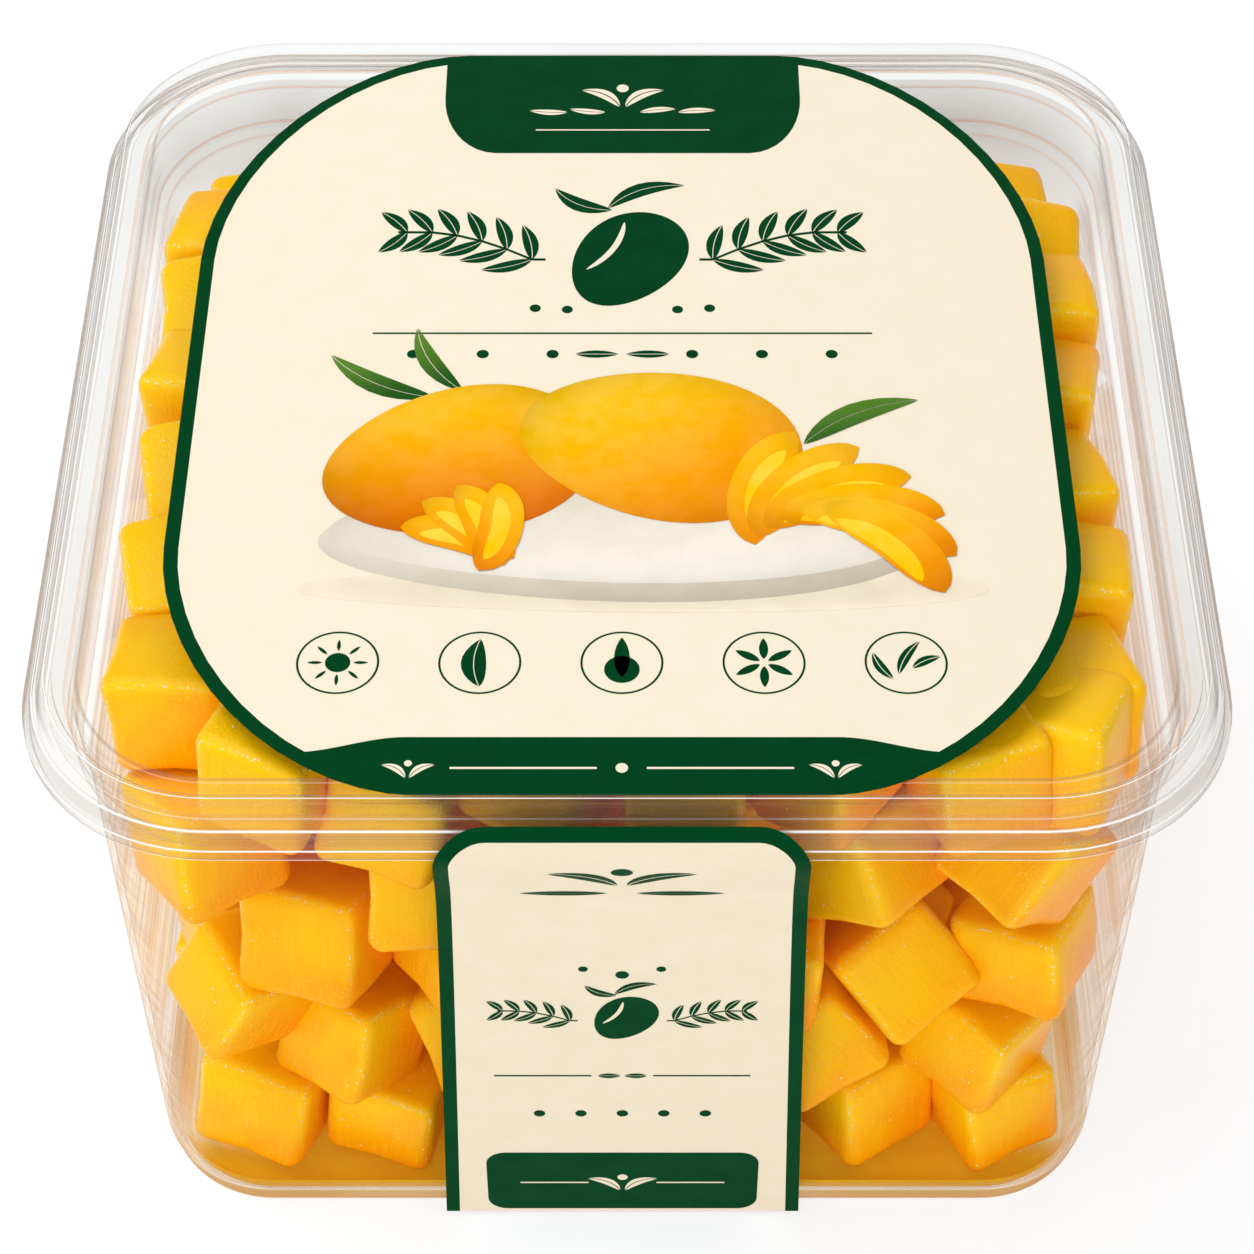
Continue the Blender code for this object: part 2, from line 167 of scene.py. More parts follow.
# Cubes of the top layer along the two sides: side, place from front to back, turn, tilt, roll.
SIDE_CUBES = (
    (-1, 47.0, 4, 10, -5),
    (-1, 33.0, -8, -8, -3),
    (-1, 20.5, 6, 7, -6),
    (-1, 8.0, -10, -10, -2),
    (-1, -5.5, 12, 10, -5),
    (-1, -19.5, 9, 5, -7),
    (-1, -33.5, -5, -7, -3),
    (1, 47.0, 3, 0, 4),
    (1, 33.5, -9, 7, 5),
    (1, 20.5, 6, -10, 6),
    (1, 7.5, -8, -12, 3),
    (1, -7.0, 14, -8, 7),
    (1, -21.0, -3, -14, 2),
    (1, -35.0, 14, -12, 5),
)
SIDE_CUBE_Z = 68.0 * MM
SIDE_CUBE = 13.0 * MM

# The stage. The camera's tilt is in degrees up from straight down.
FLOOR_HALF = 3.0
CAMERA_PLACE = (0.0, -0.2544, 0.3222)
CAMERA_TILT = 42.03


class FruitSettings(bpy.types.PropertyGroup):
    """How the cut fruit looks."""

    edge: bpy.props.FloatProperty(
        name="Edge rounding", description="Radius of a cut cube's edges",
        default=1.8 * MM, min=0.0002, max=0.004, unit="LENGTH")
    bow: bpy.props.FloatProperty(
        name="Face bow", description="How far a cut face sinks or swells at its middle",
        default=0.3 * MM, min=0.0, max=0.001, unit="LENGTH")
    # Light flesh is painted where the cubes turn to the main light and deep flesh where they turn away, as
    # painted shade; deep flesh also marks the ripest cubes.
    light: bpy.props.FloatVectorProperty(
        name="Light flesh", description="Colour of the brightest flesh",
        default=(0.97, 0.555, 0.0015), min=0.0, max=1.0, subtype="COLOR")
    deep: bpy.props.FloatVectorProperty(
        name="Deep flesh", description="Colour of the ripest flesh",
        default=(0.95, 0.30, 0.0008), min=0.0, max=1.0, subtype="COLOR")
    # The inner glow is a painted glow: an orange emission that stands in for light passed through the flesh
    # into its crevices.
    glow: bpy.props.FloatProperty(
        name="Inner glow", description="Light that the flesh passes on into its crevices",
        default=0.035, min=0.0, max=1.0)
    roughness: bpy.props.FloatProperty(
        name="Roughness", description="Roughness of the moist surface",
        default=0.32, min=0.0, max=1.0, subtype="FACTOR")


class PlasticSettings(bpy.types.PropertyGroup):
    """How the clear tub and lid look."""

    tint: bpy.props.FloatVectorProperty(
        name="Tint", description="Colour of the plastic where it is hazy",
        default=(0.42, 0.39, 0.36), min=0.0, max=1.0, subtype="COLOR")
    # The tub's haze is painted in the fruit's colour, a painted reflection of the fruit beside it.
    painted_fruit_tint: bpy.props.FloatVectorProperty(
        name="Tub tint", description="Colour of the tub where it is hazy, warmed by the fruit",
        default=(0.60, 0.38, 0.15), min=0.0, max=1.0, subtype="COLOR")
    shade: bpy.props.FloatVectorProperty(
        name="Shaded bend", description="Colour of the lid's bends where they turn from the light",
        default=(0.27, 0.20, 0.14), min=0.0, max=1.0, subtype="COLOR")
    # The tub's bends get a painted shade in the fruit's orange, standing in for the fruit seen in them: a
    # painted reflection.
    painted_fruit_shade: bpy.props.FloatVectorProperty(
        name="Warm bend", description="Colour of the tub's bends, which pick up the fruit",
        default=(0.86, 0.42, 0.12), min=0.0, max=1.0, subtype="COLOR")
    wall_haze: bpy.props.FloatProperty(
        name="Wall haze", description="Haze of the tub's wall at a glancing look",
        default=0.3, min=0.0, max=1.0, subtype="FACTOR")
    rim_haze: bpy.props.FloatProperty(
        name="Rim haze", description="Haze of the lid's rim at a glancing look",
        default=0.6, min=0.0, max=1.0, subtype="FACTOR")
    # Grey painted shade high on the back wall, added to its haze.
    painted_back_shade: bpy.props.FloatProperty(
        name="Back haze", description="Haze of the back wall, which shows greyer through the lid",
        default=0.2, min=0.0, max=1.0, subtype="FACTOR")
    mirror: bpy.props.FloatProperty(
        name="Mirror", description="Share that the plastic mirrors at a glancing look",
        default=0.3, min=0.0, max=1.0, subtype="FACTOR")
    roughness: bpy.props.FloatProperty(
        name="Roughness", description="Roughness of the pressed surface",
        default=0.02, min=0.0, max=1.0, subtype="FACTOR")
    softness: bpy.props.FloatProperty(
        name="Step rounding", description="How far each step of the rim is rounded",
        default=0.45 * MM, min=0.0, max=0.002, unit="LENGTH")


class LabelSettings(bpy.types.PropertyGroup):
    """Colours and sizes of the two labels."""

    paper: bpy.props.FloatVectorProperty(
        name="Paper", description="Colour of the label's pale field",
        default=(0.865, 0.775, 0.615), min=0.0, max=1.0, subtype="COLOR")
    # A darker copy of the label paper, as painted shade: the front label stands in more of the fill light.
    shaded_front_paper: bpy.props.FloatVectorProperty(
        name="Front paper", description="Colour of the narrow label's pale field",
        default=(0.80, 0.70, 0.53), min=0.0, max=1.0, subtype="COLOR")
    ink: bpy.props.FloatVectorProperty(
        name="Ink", description="Colour of the dark printed fields",
        default=(0.0004, 0.052, 0.013), min=0.0, max=1.0, subtype="COLOR")
    border: bpy.props.FloatProperty(
        name="Border", description="Width of the dark border",
        default=1.5 * MM, min=0.0, max=0.005, unit="LENGTH")
    sheet: bpy.props.FloatProperty(
        name="Sheet", description="Thickness of a label",
        default=0.16 * MM, min=0.00005, max=0.0005, unit="LENGTH")


class StageSettings(bpy.types.PropertyGroup):
    """Floor, lights and camera."""

    floor: bpy.props.FloatVectorProperty(
        name="Floor", description="Colour of the floor",
        default=(0.31, 0.335, 0.35), min=0.0, max=1.0, subtype="COLOR")
    sky: bpy.props.FloatProperty(
        name="Surround", description="Strength of the even light all round",
        default=0.46, min=0.0, max=5.0)
    key: bpy.props.FloatProperty(
        name="Main light", description="Power of the large light over the left shoulder",
        default=2.85, min=0.0, max=100.0, unit="POWER")
    fill: bpy.props.FloatProperty(
        name="Fill light", description="Power of the light in front",
        default=2.5, min=0.0, max=100.0, unit="POWER")
    back_fill: bpy.props.FloatProperty(
        name="Back fill light", description="Power of the light behind",
        default=1.3, min=0.0, max=100.0, unit="POWER")
    edges: bpy.props.FloatProperty(
        name="Edge lights", description="Power of each narrow light that draws the plastic's edges",
        default=0.12, min=0.0, max=100.0, unit="POWER")
    spark: bpy.props.FloatProperty(
        name="Spark lights", description="Power of each small light that glints on the wet fruit",
        default=0.2, min=0.0, max=100.0, unit="POWER")
    glow: bpy.props.FloatProperty(
        name="Floor glow", description="Light that the floor gives off, which keeps the shadow pale",
        default=0.71, min=0.0, max=2.0)
    lens: bpy.props.FloatProperty(
        name="Lens", description="Focal length of the camera",
        default=94.69, min=1.0, max=500.0, unit="CAMERA")


class Graph:
    """One material's nodes, with a short way to add a node and join its sockets."""

    def __init__(self, name):
        self.material = bpy.data.materials.new(name)
        self.material.use_nodes = True
        self.tree = self.material.node_tree
        self.tree.nodes.clear()
        self.output = self.tree.nodes.new("ShaderNodeOutputMaterial")

    def add(self, kind, sockets=None, out=0, **settings):
        """A node of a kind, its sockets set or joined; the answer is one of its outputs."""
        node = self.tree.nodes.new("ShaderNode" + kind)
        for key, value in settings.items():
            setattr(node, key, value)
        for key, value in (sockets or {}).items():
            if isinstance(value, bpy.types.NodeSocket):
                self.tree.links.new(value, node.inputs[key])
            else:
                node.inputs[key].default_value = value
        return node.outputs[out]

    def math(self, operation, a, b=0.0):
        """One sum on two numbers or sockets."""
        return self.add("Math", {0: a, 1: b}, operation=operation)

    def blend(self, share, a, b):
        """A colour between two, by a share."""
        return self.add("Mix", {0: share, 6: a, 7: b}, out=2, data_type="RGBA")

    def span(self, value, low, high, to_low=0.0, to_high=1.0):
        """A value carried smoothly from one span to another."""
        sockets = {0: value, 1: low, 2: high, 3: to_low, 4: to_high}
        return self.add("MapRange", sockets, interpolation_type="SMOOTHSTEP")

    def noise(self, where, scale, detail=3.0, rough=0.5):
        """Fractal noise at a place, from nought to one."""
        sockets = {"Vector": where, "Scale": scale, "Detail": detail, "Roughness": rough}
        return self.add("TexNoise", sockets)

    def finish(self, shader):
        """Join the surface and give the material back."""
        self.tree.links.new(shader, self.output.inputs["Surface"])
        return self.material


def fruit_material(settings):
    """Moist flesh: yellow to orange clouds, fibres along each cube's own grain, painted shade, sheen and
    glints.

    A point's own number for how far it looks up to the main light paints the flesh yellow where it
    turns to the light and orange where it turns away, as painted shade. The upper edges get a
    painted sheen, and the specks, small cells of a random pattern, are painted glints: a dotted
    line along the upper edges, and sparse finer ones on the faces.
    """
    g = Graph("mango_flesh")
    edge = g.add("Attribute", out=2, attribute_name="edge")
    grain = g.add("Attribute", out=1, attribute_name="grain")
    tone = g.add("Attribute", out=2, attribute_name="tone")
    painted_light = g.add("Attribute", out=2, attribute_name="painted_light")
    along = g.add("Mapping", {"Vector": grain, "Scale": (1.0, 1.0, 0.11)})
    clouds = g.noise(grain, 170.0, 3.0)
    fibres = g.noise(along, 2100.0, 4.0, 0.6)
    flecks = g.noise(grain, 3600.0, 2.0, 0.6)
    # Ripeness at random, plus painted shade: the flesh turns to the deep orange where it looks away from
    # the main light.
    ripe_and_shade = g.math("ADD", g.math("MULTIPLY", clouds, 0.5), g.math("MULTIPLY", tone, 0.2))
    ripe_and_shade = g.math("SUBTRACT", ripe_and_shade, g.math("MULTIPLY", painted_light, 0.42))
    flesh = g.blend(g.span(ripe_and_shade, -0.1, 0.75), (*settings.light, 1.0), (*settings.deep, 1.0))
    # Painted sheen: the upper edges, those that look to the main light, are lightened towards pale yellow.
    upper = g.span(painted_light, 0.0, 0.45)
    rim = g.math("MULTIPLY", g.span(edge, 0.2, 1.0, 0.0, 0.45), upper)
    flesh = g.blend(rim, flesh, (1.0, 0.66, 0.02, 1.0))
    pale = g.span(fibres, 0.5, 0.76, 0.0, 0.4)
    colour = g.blend(pale, flesh, (1.0, 0.60, 0.015, 1.0))
    dull = g.span(fibres, 0.26, 0.48, 0.32, 0.0)
    colour = g.blend(dull, colour, (0.95, 0.36, 0.001, 1.0))
    # Painted glints: bright pale dots in a dotted line along the upper edges, a few elsewhere; they are
    # also raised a little in the bump.
    cells = {"Vector": grain, "Scale": 2500.0, "Randomness": 1.0}
    near = g.add("TexVoronoi", cells)
    lot = g.add("TexVoronoi", cells, out=1)
    lot = g.add("SeparateColor", {"Color": lot})
    on_edge = g.span(edge, 0.72, 0.97, 0.0, 0.85)
    chance = g.math("MULTIPLY", on_edge, g.span(painted_light, 0.05, 0.5, 0.08, 1.0))
    chosen = g.math("LESS_THAN", lot, g.math("ADD", chance, 0.008))
    painted_glint = g.math("MULTIPLY", g.span(near, 0.2, 0.42, 1.0, 0.0), chosen)
    # Painted glints, finer: sparse pale specks on the faces where the clouds run high.
    small = {"Vector": grain, "Scale": 4300.0, "Randomness": 1.0}
    small_near = g.add("TexVoronoi", small)
    small_lot = g.add("TexVoronoi", small, out=1)
    small_lot = g.add("SeparateColor", {"Color": small_lot})
    painted_speck = g.math("LESS_THAN", small_lot, g.span(clouds, 0.42, 0.72, 0.0, 0.2))
    painted_speck = g.math("MULTIPLY", g.span(small_near, 0.15, 0.45, 1.0, 0.0), painted_speck)
    colour = g.blend(g.math("MULTIPLY", painted_speck, 0.5), colour, (1.0, 0.84, 0.2, 1.0))
    colour = g.blend(g.math("MULTIPLY", painted_glint, 0.85), colour, (1.0, 0.92, 0.55, 1.0))
    height = g.math("ADD", g.math("MULTIPLY", fibres, 0.5), g.math("MULTIPLY", flecks, 0.5))
    height = g.math("ADD", height, g.math("MULTIPLY", clouds, 1.4))
    height = g.math("ADD", height, g.math("MULTIPLY", painted_glint, 0.8))
    bump = g.add("Bump", {"Strength": 0.55, "Distance": 0.00022, "Height": height})
    rough = g.span(flecks, 0.3, 0.7, settings.roughness - 0.1, settings.roughness + 0.12)
    shader = g.add("BsdfPrincipled", {
        "Base Color": colour,
        "Roughness": rough,
        "Normal": bump,
        "Specular IOR Level": 0.04,
        # Painted glow: a faint orange emission over all the flesh.
        "Emission Color": (1.0, 0.26, 0.0, 1.0),
        "Emission Strength": settings.glow,
        "Coat Weight": 0.35,
        "Coat Roughness": 0.07,
        "Coat IOR": 1.3,
        "Coat Normal": bump,
    })
    return g.finish(shader)


def plastic_material(settings, name, shade, plain, glancing_haze):
    """Thin pressed plastic: clear face on, hazy where it is drawn thicker, with painted highlights and
    painted shade on its bends.

    The points' own veil, line and dark numbers say how hazy a band is, which bends get a painted
    highlight and which a painted shade. A glancing look meets more haze and a mirror gloss, with
    fine painted streaks of refraction along the wall down to the plain share. The haze is partly a
    film and partly a filter that darkens what lies behind as painted shade: low down beside the
    fruit the filter and film take the fruit's golden colour as a painted reflection, grey above it.
    """
    g = Graph(name)
    place = g.add("TexCoord", out=3)
    veil = g.add("Attribute", out=2, attribute_name="veil")
    line = g.add("Attribute", out=2, attribute_name="line")
    dark = g.add("Attribute", out=2, attribute_name="dark")
    run = g.add("Attribute", out=1, attribute_name="run")
    slow = g.noise(place, 70.0, 0.0)
    # Painted refraction streaks: the glancing haze runs in fine stripes along the wall, standing in for
    # light bent by the wall.
    streaks = g.noise(run, 700.0, 1.0, 0.5)
    glancing = g.add("LayerWeight", {"Blend": 0.5}, out=1)
    streaked = g.span(streaks, 0.35, 0.7, plain, 1.0)
    haze = g.math("MULTIPLY", g.span(glancing, 0.55, 0.98, 0.0, glancing_haze), streaked)
    haze = g.math("ADD", haze, g.span(glancing, 0.9, 1.0, 0.0, 0.4))
    haze = g.math("ADD", haze, g.math("MULTIPLY", veil, g.span(slow, 0.3, 0.7, 0.8, 1.1)))
    # Painted filter: behind the haze the view is darkened as painted shade, golden low down as a painted
    # reflection of the fruit and grey higher up.
    above = g.span(g.add("SeparateXYZ", {"Vector": place}, out=2), GOLDEN_UP_TO, GREY_FROM)
    painted_filter = g.blend(above, PAINTED_FRUIT_FILTER, PAINTED_SHADE_FILTER)
    painted_filter = g.blend(g.span(haze, 0.0, 0.5), CLEAR_FILTER, painted_filter)
    painted_filter = g.add("BsdfTransparent", {"Color": painted_filter})
    tint = g.blend(above, (*settings.painted_fruit_tint, 1.0), (*settings.tint, 1.0))
    film = g.add("BsdfDiffuse", {"Color": tint})
    # Painted shade and painted highlight of the bends: flat diffuse colours laid over the plastic.
    shaded = g.add("BsdfDiffuse", {"Color": (*shade, 1.0)})
    lit = g.add("BsdfDiffuse", {"Color": (0.98, 0.97, 0.95, 1.0)})
    mirror = g.add("BsdfGlossy", {"Color": (1.0, 1.0, 1.0, 1.0), "Roughness": settings.roughness})
    shader = g.add("MixShader", {0: g.math("MULTIPLY", haze, 0.6), 1: painted_filter, 2: film})
    shader = g.add("MixShader", {0: g.math("MULTIPLY", dark, 0.5), 1: shader, 2: shaded})
    shader = g.add("MixShader", {0: g.span(line, 0.55, 1.0), 1: shader, 2: lit})
    gloss = g.span(glancing, 0.6, 1.0, 0.0, settings.mirror)
    shader = g.add("MixShader", {0: gloss, 1: shader, 2: mirror})
    return g.finish(shader)


def print_material(name, colour, rough, mottle=0.06, attribute=""):
    """Satin print on film: a colour with a faint mottle and a fine paper tooth."""
    g = Graph(name)
    place = g.add("TexCoord", out=3)
    cloud = g.noise(place, 240.0, 4.0, 0.6)
    tooth = g.noise(place, 5200.0, 2.0)
    base = g.add("Attribute", out=0, attribute_name=attribute) if attribute else (*colour, 1.0)
    darker = g.add("HueSaturation", {"Color": base, "Value": 1.0 - mottle, "Saturation": 1.04})
    tint = g.blend(g.span(cloud, 0.35, 0.65), base, darker)
    bump = g.add("Bump", {"Strength": 0.18, "Distance": 0.00004, "Height": tooth})
    shader = g.add("BsdfPrincipled", {
        "Base Color": tint,
        "Roughness": g.span(cloud, 0.3, 0.7, rough - 0.04, rough + 0.05),
        "Specular IOR Level": 0.015,
        "Normal": bump,
    })
    return g.finish(shader)


def add_piece(name, verts, faces, materials, which=None, smooth=True, values=None):
    """A finished piece at the origin that rides on the root body.

    which numbers each face's material, and values holds named numbers or vectors of its points.
    """
    mesh = bpy.data.meshes.new(name)
    mesh.from_pydata(np.reshape(verts, (-1, 3)).tolist(), [], faces)
    for material in materials:
        mesh.materials.append(material)
    if which is not None:
        mesh.polygons.foreach_set("material_index", np.asarray(which, np.int32))
    mesh.polygons.foreach_set("use_smooth", np.full(len(mesh.polygons), smooth))
    for key, (kind, field, data) in (values or {}).items():
        layer = mesh.attributes.new(key, kind, "POINT")
        layer.data.foreach_set(field, np.ravel(data).astype(np.float32))
    obj = bpy.data.objects.new(name, mesh)
    bpy.context.scene.collection.objects.link(obj)
    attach(obj, "root")
    return obj


def grid_faces(rows, cols, wrap_rows=False, wrap_cols=False):
    """Quads over a grid of points that is kept row by row."""
    r = np.arange(rows - (not wrap_rows))[:, None]
    c = np.arange(cols - (not wrap_cols))[None, :]
    r_next = (r + 1) % rows
    c_next = (c + 1) % cols
    corners = (r * cols + c, r * cols + c_next, r_next * cols + c_next, r_next * cols + c)
    return np.stack(corners, -1).reshape(-1, 4)


def rounded_path(points, reach, steps=4):
    """A path whose corners are cut at a reach from each and bridged by a parabola.

    Each row is a half width, a height, the haze of the stretch that follows, and how strong its own
    bend's painted highlight and painted shade are. A bend's painted highlight peaks at its middle and
    its painted shade where it starts.
    """
    points = np.asarray(points, float)
    before, here, after = points[:-2, :2], points[1:-1, :2], points[2:, :2]
    back = np.linalg.norm(before - here, axis=1, keepdims=True)
    ahead = np.linalg.norm(after - here, axis=1, keepdims=True)
    start = here + (before - here) * np.minimum(reach / back, 0.4)
    end = here + (after - here) * np.minimum(reach / ahead, 0.4)
    t = np.linspace(0, 1, steps + 1)[None, :, None]
    bends = (1 - t) ** 2 * start[:, None] + 2 * t * (1 - t) * here[:, None] + t * t * end[:, None]
    early = start + (before - start) * np.minimum(0.5 * reach / back, 0.1)
    late = end + (after - end) * np.minimum(0.5 * reach / ahead, 0.1)
    bends = np.concatenate([early[:, None], bends, late[:, None]], axis=1)
    t = np.concatenate([[0.0], t[0, :, 0], [1.0]])[None, :, None]
    veil = np.where(t < 0.5, points[:-2, 2][:, None, None], points[1:-1, 2][:, None, None])
    line = points[1:-1, 3][:, None, None] * np.sin(math.pi * t)
    shape = np.array([0.0, 1.0] + [0.4] + [0.0] * steps)[None, :, None]
    dark = points[1:-1, 4][:, None, None] * shape
    bends = np.concatenate([bends, veil, line, dark], -1)
    ends = points[[0, -1]] * [1, 1, 1, 0, 0]
    return np.concatenate([ends[:1], bends.reshape(-1, 5), ends[1:]])


def square_stations(corner_steps=16, side_steps=10):
    """Corner-centre points and outward directions round the square, counter-clockwise."""
    turn = np.arange(4)[:, None] * math.pi / 2
    swing = turn + np.linspace(0, 1, corner_steps + 1)[None, :] * math.pi / 2
    middle = turn + math.pi / 4
    corner = np.stack([np.cos(middle), np.sin(middle)], -1) * math.sqrt(2) * CORNER_CENTRE
    base = np.broadcast_to(corner, (4, corner_steps + 1, 2))
    way = np.stack([np.cos(swing), np.sin(swing)], -1)
    share = np.linspace(0, 1, side_steps + 1)[None, 1:-1, None]
    side = corner + (np.roll(corner, -1, axis=0) - corner) * share
    side_way = np.broadcast_to(way[:, -1:], side.shape)
    base = np.concatenate([base, side], axis=1).reshape(-1, 2)
    way = np.concatenate([way, side_way], axis=1).reshape(-1, 2)
    return base, way


def square_shell(name, path, material, flat_half, painted_back_shade=0.0):
    """A closed shell: the path's half widths and heights carried round the square outline.

    Inside flat_half a level is the outline at flat_half drawn in towards the middle. The points
    keep the path's haze, the painted highlights and painted shade of its bends, and their run: the
    way along the path, then slowly round. High up at the back the wall gains a grey painted shade.
    """
    base, way = square_stations()
    half = path[:, 0][:, None, None]
    outer = base + way * (np.maximum(half, flat_half) - CORNER_CENTRE)
    plan = outer * np.minimum(half / flat_half, 1.0)
    level = np.broadcast_to(path[:, 1][:, None, None], (*plan.shape[:2], 1))
    verts = np.concatenate([plan, level], -1)
    rows, cols = plan.shape[:2]
    faces = grid_faces(rows, cols, wrap_cols=True).tolist()
    faces.append(list(range(cols))[::-1])
    faces.append(list(range((rows - 1) * cols, rows * cols)))
    along = np.concatenate([[0.0], np.cumsum(np.linalg.norm(np.diff(path[:, :2], axis=0), axis=1))])
    run = np.concatenate([np.broadcast_to(along[:, None, None], level.shape), plan * 0.02], -1)
    values = {"run": ("FLOAT_VECTOR", "vector", run)}
    for column, key in enumerate(("veil", "line", "dark"), 2):
        number = np.broadcast_to(path[:, column][:, None], (rows, cols))
        if key == "veil":
            # A grey painted shade high up on the back wall, added to the haze there.
            high = np.clip((level[..., 0] - BACK_SHADE_FROM) / (WALL_TOP_Z - BACK_SHADE_FROM), 0, 1)
            high = high * (level[..., 0] < BACK_SHADE_TO)
            number = number + painted_back_shade * high * np.clip(plan[..., 1] / half[..., 0] * 2.5 - 1.2, 0, 1)
        values[key] = ("FLOAT", "value", number)
    return add_piece(name, verts, faces, [material], values=values)


def profile(rows):
    """Profile rows in metres: two lengths in millimetres, then haze, the bend's painted highlight and the
    bend's painted shade.
    """
    return np.array([tuple(row) + (0.0,) * (5 - len(row)) for row in rows]) * [MM, MM, 1, 1, 1]


def make_tub(settings):
    """The open tub. Its profile runs from the underside out, up to the rim and down inside.

    Clear plastic casts no shadow, so that the light reaches the fruit.
    """
    # Rows: half width and height in millimetres, haze, then the bend's painted highlight and painted shade.
    outside = [
        (20.0, 0.55), (40.0, 0.55), (41.2, 0.3), (47.0, 0.3, 0.1), (47.6, 0.0, 0.2), (50.6, 0.0, 0.35),
        (51.8, 0.5, 0.5, 0.85, 0.6), (52.4, 1.7, 0.5), (52.5, 3.3, 0.4),
        (WALL_LOW_HALF / MM, HEEL_Z / MM, 0.005, 0.8, 0.5), (53.4, 26.0, 0.005), (53.85, 48.0, 0.01),
        (WALL_TOP_HALF / MM, WALL_TOP_Z / MM, 0.02, 0.2, 0.1), (55.2, 69.2, 0.03, 0.2, 0.2),
        (55.5, 74.6, 0.05, 0.2, 0.8), (56.0, 75.2, 0.05), (57.3, 75.3, 0.05), (57.3, 76.2, 0.05, 0.8, 0.5),
    ]
    inside = [
        (57.0, 76.4, 0.06), (55.2, 76.4, 0.05, 0.5, 0.9), (54.8, 76.0, 0.04),
        (54.5, 69.5, 0.02, 0.2, 0.9), (53.5, 68.2, 0.005, 0.15, 0.6), (53.15, 48.0), (52.7, 26.0),
        (52.25, 4.4, 0.04), (51.8, 3.4, 0.04),
        (51.5, 2.0, 0.08, 0.5, 0.3), (50.8, 1.1, 0.06), (50.0, 0.7, 0.04), (47.8, 0.7, 0.04),
        (47.2, 1.0, 0.03, 0.4), (41.4, 1.0), (40.2, 1.25), (20.0, 1.25),
    ]
    path = rounded_path(profile(outside + inside), settings.softness)
    # The tub's bends take a painted shade in the fruit's colour, a painted reflection.
    clear = plastic_material(settings, "tub_plastic", settings.painted_fruit_shade, 0.15, settings.wall_haze)
    tub = square_shell("tub_shell", path, clear, TUB_FLAT_HALF, settings.painted_back_shade)
    tub.visible_shadow = False
    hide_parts("tub")


def make_lid(settings):
    """The lid. Its profile runs over the panel, the bead and the skirt, and back underneath.

    A haze below nought on the flat panel keeps it clear at a glancing look.
    """
    # Rows: half width and height in millimetres, haze, then the bend's painted highlight and painted shade.
    top = [
        (20.0, 78.3, -0.25), (54.6, 78.3, 0.08, 0.7, 0.9), (56.4, PANEL_Z / MM, 0.06), (56.6, 79.0, 0.06),
        (56.9, 79.3, 0.06), (57.3, 79.3, 0.1, 0.95, 0.6), (57.55, 79.1, 0.1), (57.9, 78.4, 0.06, 0.2, 0.1),
        (58.3, 76.8, 0.1, 0.0, 0.1), (58.9, 76.2, 0.26, 0.95, 0.5), (59.2, 75.3, 0.26), (59.7, 75.0, 0.18),
        (60.0, 74.6, 0.12, 0.95, 0.2), (60.0, 73.0, 0.1, 1.0, 0.6),
    ]
    under = [
        (59.4, 73.0, 0.02), (59.3, 74.2, 0.02), (58.6, 74.7, 0.02), (58.2, 75.7, 0.02, 0.2),
        (57.7, 76.4, 0.02, 0.2), (57.3, 77.3, 0.02), (56.8, 77.7, 0.02), (54.6, 77.7, -0.25, 0.2, 0.2),
        (20.0, 77.7, -0.25),
    ]
    path = rounded_path(profile(top + under), settings.softness)
    clear = plastic_material(settings, "lid_plastic", settings.shade, 0.85, settings.rim_haze)
    lid = square_shell("lid_shell", path[::-1], clear, LID_FLAT_HALF)
    lid.visible_shadow = False
    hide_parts("lid")


def turned(yaw, tilt, roll):
    """Axes of cubes, one row for each axis: rolled about Y, tilted about X, then turned about Z."""
    a, b, c = np.radians(yaw), np.radians(tilt), np.radians(roll)
    ca, sa, cb, sb, cc, sc = np.cos(a), np.sin(a), np.cos(b), np.sin(b), np.cos(c), np.sin(c)
    x_axis = np.stack([ca * cc - sa * sb * sc, sa * cc + ca * sb * sc, -cb * sc], -1)
    y_axis = np.stack([-sa * cb, ca * cb, sb], -1)
    z_axis = np.stack([ca * sc + sa * sb * cc, sa * sc - ca * sb * cc, cb * cc], -1)
    return np.stack([x_axis, y_axis, z_axis], -2)


def corners_of(centre, axes, half):
    """The eight corners of every cube."""
    signs = np.array([(i, j, k) for i in (-1, 1) for j in (-1, 1) for k in (-1, 1)], float)
    reach = signs[None, :, :, None] * half[:, None, :, None] * axes[:, None, :, :]
    return centre[:, None, :] + reach.sum(2)


def room_half(height):
    """Half width of the room inside the wall at a height."""
    share = (height - HEEL_Z) / (WALL_TOP_Z - HEEL_Z)
    half = WALL_LOW_HALF + (WALL_TOP_HALF - WALL_LOW_HALF) * share - WALL - ROOM_GAP
    heel = np.clip((HEEL_Z - height) / HEEL_Z, 0, 1)
    ledge = np.clip((height - WALL_TOP_Z) / (LEDGE_Z - WALL_TOP_Z), 0, 1)
    return half - HEEL_IN * heel + LEDGE_OUT * ledge


def room_top(back):
    """Highest level of the fruit at a place from front to back: it sinks towards the back wall."""
    start, end = ROOM_TOP_FADE
    share = np.clip((back - start) / (end - start), 0, 1)
    return ROOM_TOP - (ROOM_TOP - ROOM_TOP_BACK) * share


def wall_depth(points):
    """How far points lie outside the room's rounded square, and the way back in."""
    half = room_half(points[..., 2])
    radius = LID_CORNER - (LID_HALF - half)
    q = np.abs(points[..., :2]) - (half - radius)[..., None]
    out = np.maximum(q, 0)
    length = np.sqrt((out * out).sum(-1))
    depth = length + np.minimum(q.max(-1), 0) - radius
    flat = np.where(q[..., :1] > q[..., 1:], [1.0, 0.0], [0.0, 1.0])
    in_corner = (q.min(-1) > 0)[..., None]
    way = np.where(in_corner, out / np.maximum(length, 1e-9)[..., None], flat)
    return depth, -way * np.sign(points[..., :2])


